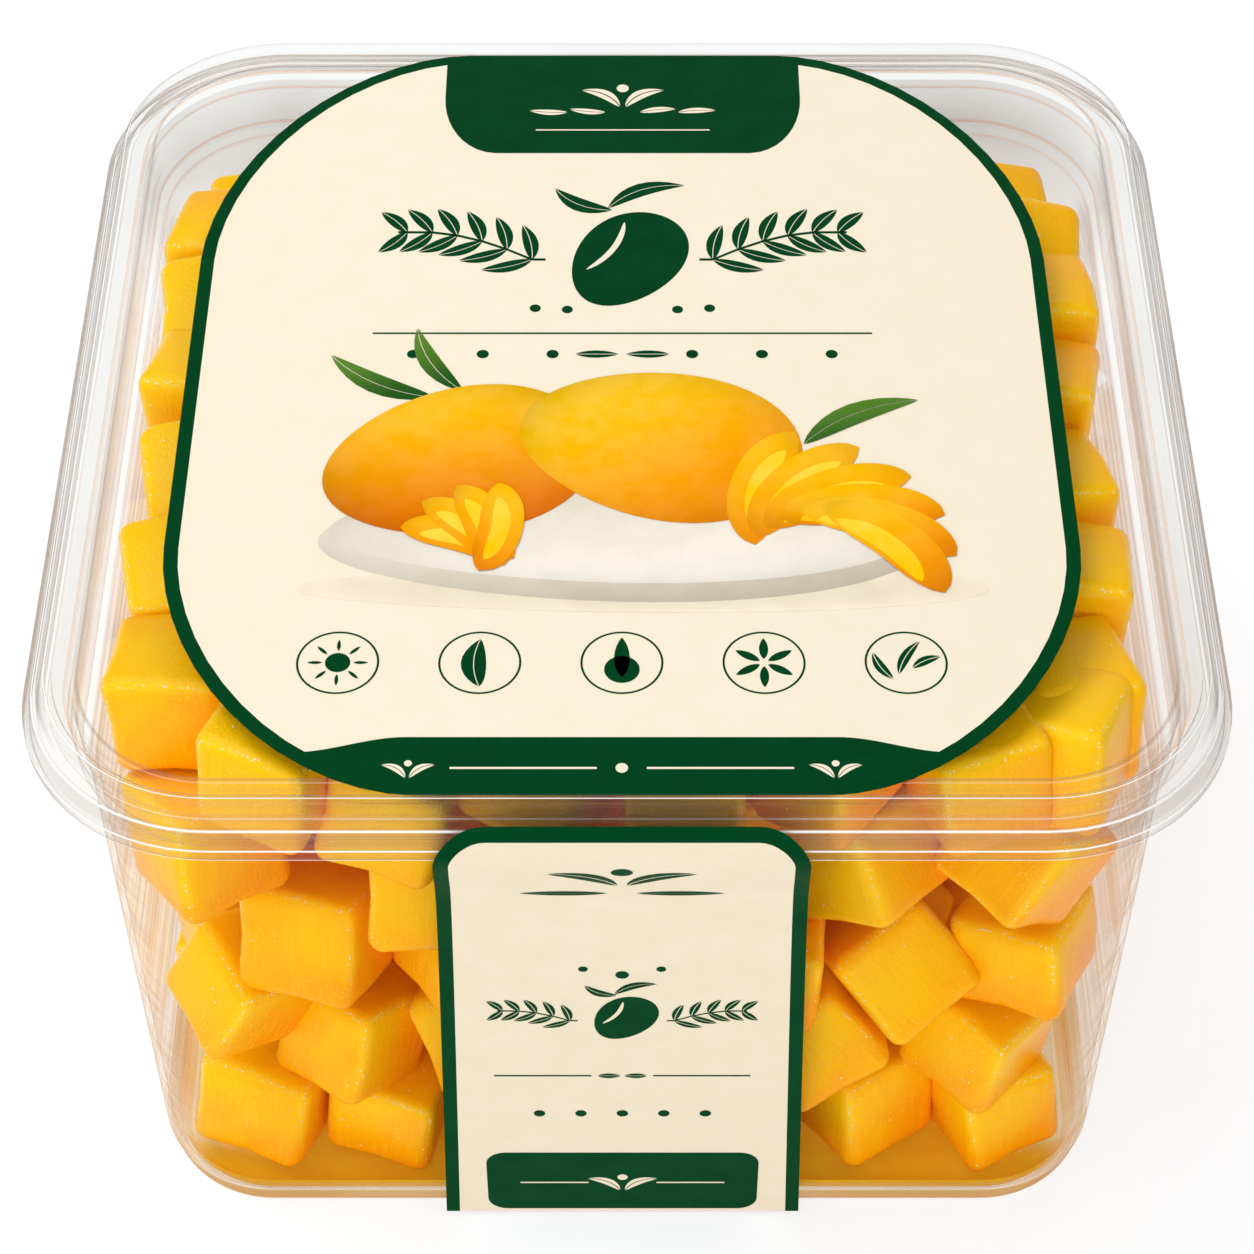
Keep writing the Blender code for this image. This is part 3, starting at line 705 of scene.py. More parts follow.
def part_pairs(centre, axes, half, first, second):
    """The shortest push that parts each pair of cubes, by the fifteen separating directions."""
    apart = centre[second] - centre[first]
    a, b = axes[first], axes[second]
    cross = np.cross(a[:, :, None, :], b[:, None, :, :]).reshape(-1, 9, 3)
    ways = np.concatenate([a, b, cross], axis=1)
    length = np.sqrt((ways * ways).sum(-1))
    ways = ways / np.maximum(length, 1e-3)[..., None]
    reach_a = (np.abs((ways[:, :, None, :] * a[:, None, :, :]).sum(-1)) * half[first][:, None, :]).sum(-1)
    reach_b = (np.abs((ways[:, :, None, :] * b[:, None, :, :]).sum(-1)) * half[second][:, None, :]).sum(-1)
    gap = (ways * apart[:, None, :]).sum(-1)
    depth = np.where(length > 0.05, reach_a + reach_b - np.abs(gap), 1.0)
    best = depth.argmin(1)
    rows = np.arange(len(best))
    push = ways[rows, best] * np.sign(gap[rows, best])[:, None]
    return np.maximum(depth[rows, best], 0), push


def first_places(rng):
    """Listed cubes first, then a staggered lattice that fills the rest of the room."""
    placed = np.array(FRONT_CUBES, float)
    sides = np.array(SIDE_CUBES, float)
    angles = np.concatenate([placed[:, 2:5], sides[:, 2:5]])
    size = np.concatenate([placed[:, 5] * MM, np.full(len(sides), SIDE_CUBE)])
    side_z = SIDE_CUBE_Z + rng.uniform(-1.0, 0.6, len(sides)) * MM
    held = np.concatenate([
        np.stack([placed[:, 0] * MM, np.zeros(len(placed)), placed[:, 1] * MM], -1),
        np.stack([np.zeros(len(sides)), sides[:, 1] * MM, side_z], -1),
    ])
    reach = (np.abs(turned(*angles.T)) * size[:, None, None] / 2).sum(1)
    against_wall = room_half(held[:, 2])[:, None] - reach[:, :2]
    held[:len(placed), 1] = -against_wall[:len(placed), 1]
    held[len(placed):, 0] = sides[:, 0] * against_wall[len(placed):, 0]
    step = (ROOM_TOP - ROOM_FLOOR) / LAYERS
    reach = room_half(ROOM_TOP / 2) - 0.55 * CUBE
    spots = []
    for layer in range(LAYERS):
        shift = STAGGER * (-1) ** layer * CUBE
        line = np.linspace(-1, 1, ROWS) * reach
        gx, gy = np.meshgrid(line + shift, line - shift, indexing="ij")
        gz = np.full(gx.shape, ROOM_FLOOR + (layer + 0.5) * step)
        spots.append(np.stack([gx, gy, gz], -1).reshape(-1, 3))
    spots = np.concatenate(spots)
    spots = spots + rng.uniform(-JITTER, JITTER, spots.shape) * CUBE
    nearest = np.sqrt(((spots[:, None] - held[None]) ** 2).sum(-1)).min(1)
    inside = np.abs(spots - [0, 0, HIDDEN_Z]).max(1) < HIDDEN_HALF
    free = spots[(nearest > NEAREST_TO_HELD * CUBE) & ~inside]
    turn = np.stack([
        rng.uniform(-45, 45, len(free)),
        rng.normal(LEAN, LOOSE, len(free)),
        rng.normal(0, LOOSE, len(free)),
    ], -1)
    rolled = rng.random(len(free)) < ROLLED_SHARE
    turn[rolled, 2] += ROLLED_BY
    free_size = rng.normal(CUBE, CUBE_SPREAD, len(free)).clip(0.86 * CUBE, 1.1 * CUBE)
    centre = np.concatenate([held, free])
    return centre, np.concatenate([angles, turn]), np.concatenate([size, free_size]), len(held)


def cube_layout():
    """Centres, axes and half sides of all cubes, pushed apart until they hardly touch."""
    rng = np.random.default_rng(SEED)
    centre, angles, size, held = first_places(rng)
    axes = turned(angles[:, 0], angles[:, 1], angles[:, 2])
    half = size[:, None] / 2 * rng.uniform(0.94, 1.06, (len(size), 3))
    free = (np.arange(len(size)) >= held).astype(float)
    for _ in range(PUSH_ROUNDS):
        far = ((centre[:, None] - centre[None]) ** 2).sum(-1)
        first, second = np.nonzero(np.triu(far < (1.75 * CUBE) ** 2, 1))
        depth, push = part_pairs(centre, axes, half, first, second)
        share = free[first] / np.maximum(free[first] + free[second], 1)
        other = free[second] / np.maximum(free[first] + free[second], 1)
        move = push * depth[:, None] * PUSH_SHARE
        shift = np.zeros_like(centre)
        np.add.at(shift, first, -move * share[:, None])
        np.add.at(shift, second, move * other[:, None])
        centre = centre + shift
        for _ in range(2):
            points = corners_of(centre, axes, half)
            out, way = wall_depth(points)
            worst = out.argmax(1)
            rows = np.arange(len(worst))
            centre[:, :2] += way[rows, worst] * np.maximum(out[rows, worst], 0)[:, None]
        points = corners_of(centre, axes, half)
        centre[:, 2] += np.maximum(ROOM_FLOOR - points[..., 2].min(1), 0)
        centre[:, 2] -= np.maximum((points[..., 2] - room_top(points[..., 1])).max(1), 0)
    return np.round(centre, 6), axes, half


def round_box(round_share):
    """A unit cube's skin as six grids of two parameters, its edges rolled to a quarter circle.

    A point's inner point is itself held inside a smaller cube; the skin lies at the rounding
    radius from it, in the direction from the inner point to the grid point.
    """
    inner = 1 - round_share
    roll = inner + round_share * math.tan(math.pi / 8)
    line = np.array([-1, -roll, -inner, 0, inner, roll, 1])
    u, v = np.meshgrid(line, line, indexing="ij")
    one = np.ones_like(u)
    sides = []
    faces = []
    for axis in range(3):
        for sign in (-1, 1):
            side = np.stack([u, v, one * sign], -1)
            sides.append(np.roll(side, axis + 1, axis=-1).reshape(-1, 3))
            quads = grid_faces(len(line), len(line))
            if sign > 0:
                quads = quads[:, ::-1]
            faces.append(quads + len(faces) * len(line) ** 2)
    points, where = np.unique(np.round(np.concatenate(sides), 6), axis=0, return_inverse=True)
    second = np.sort(np.abs(points), axis=1)[:, 1]
    edge = np.clip((second - inner) / (1 - inner), 0, 1)
    held = np.clip(points, -inner, inner)
    out = points - held
    points = held + out / np.linalg.norm(out, axis=1, keepdims=True) * round_share
    return points, where.reshape(-1)[np.concatenate(faces)], edge


def cut_cubes(centre, axes, half, settings, rng):
    """Points of all cubes: a round-edged box, its faces bowed, its sides sheared, set in place.

    The bow on each face is the product of two parabolas; the wobble is a sum of slow sines.
    """
    box, quads, edge = round_box(settings.edge / (CUBE / 2))
    count = len(centre)
    shape = np.broadcast_to(box, (count, *box.shape)).copy()
    u, v, w = shape[..., 0], shape[..., 1], shape[..., 2]
    swell = rng.uniform(-1.0, 0.35, (count, 3, 2)) * settings.bow
    cross = [(1 - v ** 2) * (1 - w ** 2), (1 - u ** 2) * (1 - w ** 2), (1 - u ** 2) * (1 - v ** 2)]
    shear = rng.uniform(-SHEAR, SHEAR, (count, 1, 3, 3)) * (1 - np.eye(3))
    local = shape * half[:, None, :]
    local = local + (local[..., None, :] * shear).sum(-1)
    for axis in range(3):
        side = shape[..., axis]
        push = np.where(side > 0, swell[:, None, axis, 1], swell[:, None, axis, 0])
        local[..., axis] += np.sign(side) * np.abs(side) ** 3 * push * cross[axis]
    phase = rng.uniform(0, 2 * math.pi, (count, 1, 3))
    wave, cross_wave = WOBBLE_WAVES
    wobble = np.sin(local[..., [1, 2, 0]] * wave + phase)
    wobble = wobble * np.sin(local[..., [2, 0, 1]] * cross_wave - phase)
    local = local * CUT_SHARE + wobble * WOBBLE
    places = centre[:, None, :] + (local[..., :, None] * axes[:, None, :, :]).sum(2)
    # How far each point looks from its cube's middle to the main light, for the painted shade of the flesh.
    way = places - centre[:, None, :]
    painted_light = (way / np.linalg.norm(way, axis=-1, keepdims=True)) @ TO_LIGHT
    faces = quads[None] + np.arange(count)[:, None, None] * len(box)
    grain = local + rng.uniform(-1, 1, (count, 1, 3))
    tone = np.broadcast_to(rng.random((count, 1)), (count, len(box)))
    return places, faces, grain, tone, np.broadcast_to(edge, (count, len(box))), painted_light


def make_fruit(settings):
    """Every cube of fruit in the part's own places, over a plain core that fills the middle."""
    flesh = fruit_material(settings)
    centre, axes, half = cube_layout()
    rng = np.random.default_rng(SEED + 1)
    places, faces, grain, tone, edge, painted_light = cut_cubes(centre, axes, half, settings, rng)
    values = {"grain": ("FLOAT_VECTOR", "vector", grain), "tone": ("FLOAT", "value", tone),
              "edge": ("FLOAT", "value", edge), "painted_light": ("FLOAT", "value", painted_light)}
    fruit = add_piece("mango_cubes", places, faces.reshape(-1, 4).tolist(), [flesh],
                      values=values)
    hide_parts("mango_heap")
    box, quads, edge = round_box(CORE_ROUND)
    size = np.array([CORE_HALF, CORE_HALF, (CORE_HIGH - CORE_LOW) / 2])
    block = box * size + [0, 0, (CORE_HIGH + CORE_LOW) / 2]
    # The core is painted as turned wholly from the light, in the deep orange of painted shade.
    still = {"grain": ("FLOAT_VECTOR", "vector", block), "tone": ("FLOAT", "value", np.ones(len(box))),
             "edge": ("FLOAT", "value", edge * 0.0), "painted_light": ("FLOAT", "value", edge * 0.0 - 1)}
    add_piece("mango_core", block, quads.tolist(), [flesh], values=still)
    make_juice()


def juice_material():
    """Thin golden juice: clear, tinted through its depth, thinner along the two sides."""
    g = Graph("juice")
    place = g.add("TexCoord", out=3)
    ripple = g.noise(place, 120.0, 2.0)
    across = g.add("SeparateXYZ", {"Vector": place}, out=0)
    ahead = g.add("SeparateXYZ", {"Vector": place}, out=1)
    inner = g.span(g.math("ABSOLUTE", across), 0.038, 0.047, 1.0, 0.12)
    deep = g.math("MAXIMUM", inner, g.span(ahead, -0.048, -0.043, 1.0, 0.0))
    bump = g.add("Bump", {"Strength": 0.3, "Distance": 0.0004, "Height": ripple})
    wet = g.add("BsdfPrincipled", {
        "Base Color": (0.80, 0.50, 0.012, 1.0),
        # Painted glow: a faint golden emission that lightens juice the light hardly reaches.
        "Emission Color": (1.0, 0.55, 0.01, 1.0),
        "Emission Strength": 0.06,
        "Roughness": 0.06,
        "Specular IOR Level": 0.15,
        "Normal": bump,
    })
    tint = g.blend(deep, (1.0, 0.97, 0.92, 1.0), (0.98, 0.78, 0.22, 1.0))
    clear = g.add("BsdfTransparent", {"Color": tint})
    depth = g.math("MULTIPLY", g.span(ripple, 0.3, 0.7, 0.5, 0.7), deep)
    return g.finish(g.add("MixShader", {0: depth, 1: clear, 2: wet}))


def make_juice():
    """A shallow pool of juice round the foot of the fruit, its edge drawn up the wall a little."""
    pool = [
        (20.0, 1.32), (46.0, 1.32), (47.6, 0.85), (49.9, 0.85), (50.6, 1.25), (51.25, 2.1),
        (51.55, 3.3), (51.7, 4.3), (51.4, 3.5), (50.6, 3.0), (46.0, 2.7), (20.0, 2.6),
    ]
    path = rounded_path(profile(pool), JUICE_SOFTNESS)
    square_shell("juice_pool", path, juice_material(), JUICE_FLAT_HALF)


def label_edge(inset):
    """The lid label's outline at an inset: two pairs of soft corners, fuller at the front.

    Each corner is a quarter of an ellipse whose power is a little below two.
    """
    t = np.linspace(0, math.pi / 2, 15)
    power = 2 / LID_LABEL_POWER
    back_x, back_y = BACK_CORNER
    front_x, front_y = FRONT_CORNERS
    back_ry, front_ry = LID_LABEL_BACK - back_y, LID_LABEL_FRONT + front_y
    corners = (
        (back_x, back_y, back_ry), (-back_x, back_y, back_ry),
        (-front_x, front_y, front_ry), (front_x, front_y, front_ry),
    )
    edge = []
    for quarter, (cx, cy, ry) in enumerate(corners):
        c, s = np.cos(t + quarter * math.pi / 2), np.sin(t + quarter * math.pi / 2)
        rx = LID_LABEL_HALF - abs(cx)
        x = cx + (rx - inset) * np.sign(c) * np.abs(c) ** power
        y = cy + (ry - inset) * np.sign(s) * np.abs(s) ** power
        edge.append(np.stack([x + LABEL_SHIFT, y], -1))
    return np.concatenate(edge)


def label_back(x, inset):
    """Place of the lid label's back edge at a place across."""
    middle, start = BACK_CORNER
    out = np.clip((np.abs(x) - middle) / (LID_LABEL_HALF - middle - inset), 0, 1)
    return start + (LID_LABEL_BACK - start - inset) * (1 - out ** LID_LABEL_POWER) ** (1 / LID_LABEL_POWER)


def label_front(x, inset):
    """Place of the lid label's front edge at a place across."""
    middle, start = FRONT_CORNERS
    out = np.clip((np.abs(x) - middle) / (LID_LABEL_HALF - middle - inset), 0, 1)
    return start - (LID_LABEL_FRONT + start - inset) * (1 - out ** LID_LABEL_POWER) ** (1 / LID_LABEL_POWER)


def ruled(left, right, steps=2):
    """Flat shapes between a left and a right curve: points in even steps from one to the other."""
    share = np.linspace(0, 1, steps)[:, None]
    return left[..., :, None, :] * (1 - share) + right[..., :, None, :] * share


def bar(x0, x1, y0, y1, corner=0.0, steps=9):
    """A box with round corners between two curves, seen from left to right."""
    bend = corner * (1 - np.cos(np.linspace(0, math.pi / 2, steps)))
    x = np.concatenate([x0 + bend, (x1 - bend)[::-1]])
    drop = corner - np.sqrt(np.maximum(corner ** 2 - (corner - bend) ** 2, 0))
    drop = np.concatenate([drop, drop[::-1]])
    return ruled(np.stack([x, y1 - drop], -1), np.stack([x, y0 + drop], -1))


def disc(x, y, radius, steps=25):
    """Round dots: the chords of a circle from left to right."""
    t = np.linspace(math.pi, 0, steps)
    across = np.stack([np.cos(t), np.sin(t)], -1) * radius
    middle = np.array([x, y])
    return ruled(middle + across, middle + across * [1, -1])


def hoop(x, y, radius, width, steps=49):
    """A thin ring between an inner and an outer circle."""
    t = np.linspace(0, 2 * math.pi, steps)
    round_way = np.stack([np.cos(t), np.sin(t)], -1)
    middle = np.array([x, y])
    return ruled(middle + round_way * (radius - width), middle + round_way * radius)


def leaves(base, angle, length, girth, bend=0.12, vein=0.05, steps=13):
    """Pointed leaves in two halves: a bent spine, widest before its middle, split by a thin vein."""
    base = np.reshape(base, (-1, 1, 2)) * MM
    angle = np.radians(np.reshape(angle, (-1, 1)))
    length = np.broadcast_to(np.reshape(length, (-1, 1)), angle.shape) * MM
    t = (1 - np.cos(np.linspace(0, math.pi, steps))) / 2
    rise = bend * 4 * t * (1 - t) * length
    spine_x = length * t
    x = spine_x * np.cos(angle) - rise * np.sin(angle)
    y = spine_x * np.sin(angle) + rise * np.cos(angle)
    spine = base + np.stack([x, y], -1)
    side = np.stack([-np.sin(angle), np.cos(angle)], -1) * np.ones((1, steps, 1))
    wide = (girth * MM * 1.9 * t ** 0.75 * (1 - t) ** 0.85)[None, :, None]
    split = np.minimum(vein * MM, wide)
    return [ruled(spine + side * wide, spine + side * split),
            ruled(spine - side * split, spine - side * wide)]


def on_lid(plan, lift):
    """Points of a plan on the lid label, at a lift above its top."""
    level = np.full((*plan.shape[:-1], 1), LID_PRINT_Z + lift)
    return np.concatenate([plan + [LABEL_SHIFT, 0], level], -1)


def cut_corners(points, rounds):
    """A smoother path: each round cuts every corner off a quarter of the way along its sides."""
    for _ in range(rounds):
        near = points[:-1] * 0.75 + points[1:] * 0.25
        far = points[:-1] * 0.25 + points[1:] * 0.75
        middle = np.stack([near, far], 1).reshape(-1, 2)
        points = np.concatenate([points[:1], middle, points[-1:]])
    return points


FRONT_PATH = cut_corners(np.array([
    (-58.75, 76.8), (-60.45, 75.6), (-60.45, 72.2), (-54.5, 60.0), (-53.3, 4.0), (-53.3, 0.5),
]) * MM, 3)
FRONT_RUN = np.concatenate([[0.0], np.cumsum(np.linalg.norm(np.diff(FRONT_PATH, axis=0), axis=1))])
FRONT_LENGTH = float(FRONT_RUN[-1])
LID_PRINT_Z = PANEL_Z + 0.24 * MM


def on_front(plan, lift):
    """Points across and down the front label, carried onto its bent path at a lift above it."""
    run = np.clip(plan[..., 1], 0, FRONT_LENGTH)
    step = 0.4 * MM
    ahead = np.stack([np.interp(run + step, FRONT_RUN, FRONT_PATH[:, k]) for k in (0, 1)], -1)
    behind = np.stack([np.interp(run - step, FRONT_RUN, FRONT_PATH[:, k]) for k in (0, 1)], -1)
    here = np.stack([np.interp(run, FRONT_RUN, FRONT_PATH[:, k]) for k in (0, 1)], -1)
    along = (ahead - behind) / np.linalg.norm(ahead - behind, axis=-1, keepdims=True)
    out = np.stack([along[..., 1], -along[..., 0]], -1)
    place = here + out * lift
    return np.concatenate([plan[..., :1] + LABEL_SHIFT, place], -1)


def add_print(name, shapes, place, lift, material, thickness, paint=None):
    """One printed piece from many flat shapes, each a grid of points, given a hair's thickness."""
    verts = []
    faces = []
    colours = []
    start = 0
    for number, shape in enumerate(shapes):
        shape = shape if shape.ndim == 4 else shape[None]
        count, rows, cols = shape.shape[:3]
        points = place(shape, lift if paint is None else lift + number * PAINT_STEP)
        quads = grid_faces(rows, cols)[None] + (np.arange(count) * rows * cols)[:, None, None]
        verts.append(points.reshape(-1, 3))
        faces.append((quads + start).reshape(-1, 4))
        start += count * rows * cols
        if paint is not None:
            colours.append(paint[number](shape).reshape(-1, 4))
    verts = np.concatenate(verts)
    values = {"paint": ("FLOAT_COLOR", "color", np.concatenate(colours))} if paint else None
    piece = add_piece(name, verts, np.concatenate(faces).tolist(), [material],
                      smooth=False, values=values)
    solid = piece.modifiers.new("thickness", "SOLIDIFY")
    solid.thickness = thickness
    solid.offset = -1.0
    return piece


def sprig(x, y, size):
    """A small bud: two curved leaves that open from a stem, with a berry between their tips."""
    base = np.array([(x + 0.06 * size, y), (x - 0.06 * size, y)])
    shapes = leaves(base[:1], [34], size, size * 0.22, bend=0.16, vein=size * 0.015)
    shapes += leaves(base[1:], [146], size, size * 0.22, bend=-0.16, vein=size * 0.015)
    shapes.append(disc(x * MM, (y + 0.62 * size) * MM, 0.13 * size * MM))
    return shapes


def garland(x, y, reach, rise, pairs, size, start=0.08, swing=0.0):
    """Two mirrored branches: an arc with leaves on both sides that shrink towards its tip."""
    t = np.linspace(start, 0.96, pairs)
    bx = reach * t
    by = rise * np.sin(t * math.pi * 0.55) ** 1.2
    slope = np.degrees(np.arctan2(np.gradient(by), np.gradient(bx)))
    long = size * (1.0 - 0.35 * t)
    shapes = []
    for mirror in (1, -1):
        base = np.stack([x + mirror * bx, y + by], -1)
        for side in (1, -1):
            turn = slope + side * (48 + swing)
            turn = turn if mirror > 0 else 180 - turn
            shapes += leaves(base, turn, long, size * 0.2, bend=0.06 * side * mirror)
        line = np.linspace(bx[0] * 0.85, reach, 40)
        stem = np.stack([x + mirror * line, y + np.interp(line, bx, by)], -1) * MM
        lift = np.array([0.0, size * 0.028 * MM])
        shapes.append(ruled(stem + lift * mirror, stem - lift * mirror))
    return shapes


def gradient(light, dark, way=(0.5, 0.85), rim=0.2):
    """A painter for one shape: light towards a direction, darker away from it and at the rim."""
    light, dark, way = np.array(light), np.array(dark), np.array(way)

    def paint(shape):
        flat = shape.reshape(shape.shape[0], -1, 2)
        low, high = flat.min(1, keepdims=True), flat.max(1, keepdims=True)
        inside = (flat - low) / (high - low) * 2 - 1
        share = np.clip(0.5 + 0.5 * (inside * way).sum(-1), 0, 1)
        share = share * share * (3 - 2 * share)
        edge = 1 - rim * np.clip((inside ** 2).sum(-1), 0, 1.4) ** 2
        colour = (dark + (light - dark) * share[..., None]) * edge[..., None]
        return np.concatenate([colour, np.ones((*share.shape, 1))], -1)

    return paint


def wedge(x, y, angle, length, girth, curl, rows=25, cols=9):
    """A slice of fruit: an arc of a given curl, full in its middle and blunt at both ends."""
    t = np.linspace(0, 1, rows)
    bend = (t - 0.5) * curl
    spine = np.stack([(t - 0.5) * length, curl * length * 0.5 * (0.25 - (t - 0.5) ** 2)], -1)
    side = np.stack([np.sin(bend), np.cos(bend)], -1)
    wide = girth / 2 * np.clip(1 - np.abs(2 * t - 1) ** 3.0, 0, 1) ** 0.7
    plan = ruled(spine + side * wide[:, None], spine - side * wide[:, None], cols)
    a = math.radians(angle)
    turn = np.array([[math.cos(a), math.sin(a)], [-math.sin(a), math.cos(a)]])
    return (plan @ turn + [x, y]) * MM


def oval(x, y, rx, ry, angle=0.0, rows=31, cols=11):
    """An oval patch with a slightly fuller lower end, as a grid."""
    t = np.linspace(math.pi, 0, rows)
    across = np.cos(t)
    high = np.sin(t) * (1 + 0.12 * across)
    plan = ruled(np.stack([across * rx, high * ry], -1), np.stack([across * rx, -high * ry], -1), cols)
    a = math.radians(angle)
    turn = np.array([[math.cos(a), math.sin(a)], [-math.sin(a), math.cos(a)]])
    return (plan @ turn + [x, y]) * MM


def around(column, radius, turn):
    """Places in millimetres round the middle of one of the small signs."""
    turn = np.radians(turn)
    return np.stack([column + radius * np.cos(turn), SIGN_ROW + radius * np.sin(turn)], -1)


def make_lid_label(settings):
    """The lid's label: dark border, pale field, a tab, a garland, fruit on a dish and a band."""
    border, sheet = settings.border, settings.sheet
    ink = print_material("label_ink", settings.ink, 0.42, 0.12)
    paper = print_material("label_paper", settings.paper, 0.5, 0.012)
    rows = [(0.0, -sheet), (0.0, -0.02 * MM), (0.03 * MM, 0.0), (border, 0.0)]
    verts = []
    for inset, lift in rows:
        edge = label_edge(inset)
        verts.append(np.concatenate([edge, np.full((len(edge), 1), LID_PRINT_Z + lift)], -1))
    count = len(verts[0])
    faces = grid_faces(len(rows), count, wrap_cols=True).tolist()
    faces.append(list(range(count))[::-1])
    faces.append(list(range((len(rows) - 1) * count, len(rows) * count)))
    which = [0] * (len(faces) - 1) + [1]
    label = add_piece("lid_label_sheet", np.concatenate(verts), faces, [ink, paper],
                      which=which, smooth=False)
    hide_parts("lid_label")

    x = 20.6 * MM * -np.cos(np.linspace(0, math.pi, 41))
    corner = np.clip((np.abs(x) - 14.4 * MM) / (6.2 * MM), 0, 1)
    low = 38.1 * MM + 6.2 * MM * (1 - np.sqrt(1 - corner ** 2)) * 1.6
    tab = ruled(np.stack([x, label_back(x, border * 0.5)], -1), np.stack([x, low], -1), 4)
    x = np.linspace(-31.6, 31.6, 81) * MM
    ease = np.clip((np.abs(x) - 21.0 * MM) / (10.6 * MM), 0, 1)
    high = -49.1 * MM - 1.9 * MM * ease * ease * (3 - 2 * ease)
    floor = label_front(x, border * 0.5)
    band = ruled(np.stack([x, high], -1), np.stack([x, np.minimum(floor, high)], -1), 3)
    dark = [tab, band, bar(-27.0 * MM, 27.0 * MM, 7.85 * MM, 8.1 * MM)]
    dark += garland(0.0, 13.5, 25.0, 11.0, 6, 6.8, start=0.4)
    dark.append(oval(0.6, 20.0, 8.2, 5.9, 62))
    dark += leaves([(-1.6, 28.6), (-1.2, 28.2)], [24, 150], [9.4, 7.4], 1.7, bend=0.14)
    for place in (-9.5, -6.0, 6.0, 9.5):
        dark.append(disc(place * MM, (11.4 + abs(place) * 0.06) * MM, 0.6 * MM))
    for place in (-22.5, -15.0, -7.5, 7.5, 15.0, 22.5):
        dark.append(disc(place * MM, 4.7 * MM, 0.65 * MM))
    dark += leaves([(-5.0, 4.7), (5.0, 4.7)], [0, 180], 4.6, 0.9, bend=0.0)
    for place in SIGN_COLUMNS:
        dark.append(hoop(place * MM, SIGN_ROW * MM, 4.1 * MM, 0.22 * MM))
    sun = np.arange(8) * 45.0
    dark.append(disc(SIGN_COLUMNS[0] * MM, SIGN_ROW * MM, 1.25 * MM))
    dark += leaves(around(SIGN_COLUMNS[0], 1.55, sun), sun, 1.45, 0.3, bend=0.0, vein=0.0)
    dark += leaves([(-14.0, -42.6)], [90], 6.2, 2.0, bend=0.1)
    dark.append(disc(0.0, -40.4 * MM, 1.75 * MM))
    dark += leaves([(0.0, -41.4)], [90], 5.2, 1.25, bend=0.0, vein=0.0)
    petals = np.arange(6) * 60.0 + 30.0
    dark += leaves(around(SIGN_COLUMNS[3], 0.5, petals), petals, 2.7, 0.72, bend=0.0, vein=0.0)
    dark += leaves([(26.6, -41.6), (27.2, -41.0), (28.6, -40.2)], [118, 62, 28], [3.9, 4.9, 3.2], 0.85,
                   bend=0.08)
    add_print("lid_label_ink", dark, on_lid, 0.02 * MM, ink, HAIR)

    pale = sprig(0.0, 46.4, 5.4)
    pale.append(wedge(-1.9, 22.2, 62, 9.0, 0.7, -0.9))
    pale += leaves([(-2.0, 45.4), (-6.4, 45.4), (2.0, 45.4), (6.4, 45.4)], [172, 176, 8, 4],
                   [4.2, 4.4, 4.2, 4.4], 0.75, bend=0.04)
    pale.append(bar(-10.0 * MM, 10.0 * MM, 42.1 * MM, 42.3 * MM))
    for side in (-1, 1):
        pale += sprig(side * 20.5, -54.2, 2.9)
        left, right = sorted((side * 16.5 * MM, side * 2.4 * MM))
        pale.append(bar(left, right, -53.1 * MM, -52.85 * MM))
    pale.append(disc(0.0, -52.97 * MM, 0.6 * MM))
    add_print("lid_label_pale", pale, on_lid, 0.04 * MM, paper, HAIR)

    shapes, paints = fruit_picture()
    picture = print_material("label_picture", (1, 1, 1), 0.5, 0.05, "paint")
    add_print("lid_label_picture", shapes, on_lid, 0.02 * MM, picture, 0.004 * MM, paints)


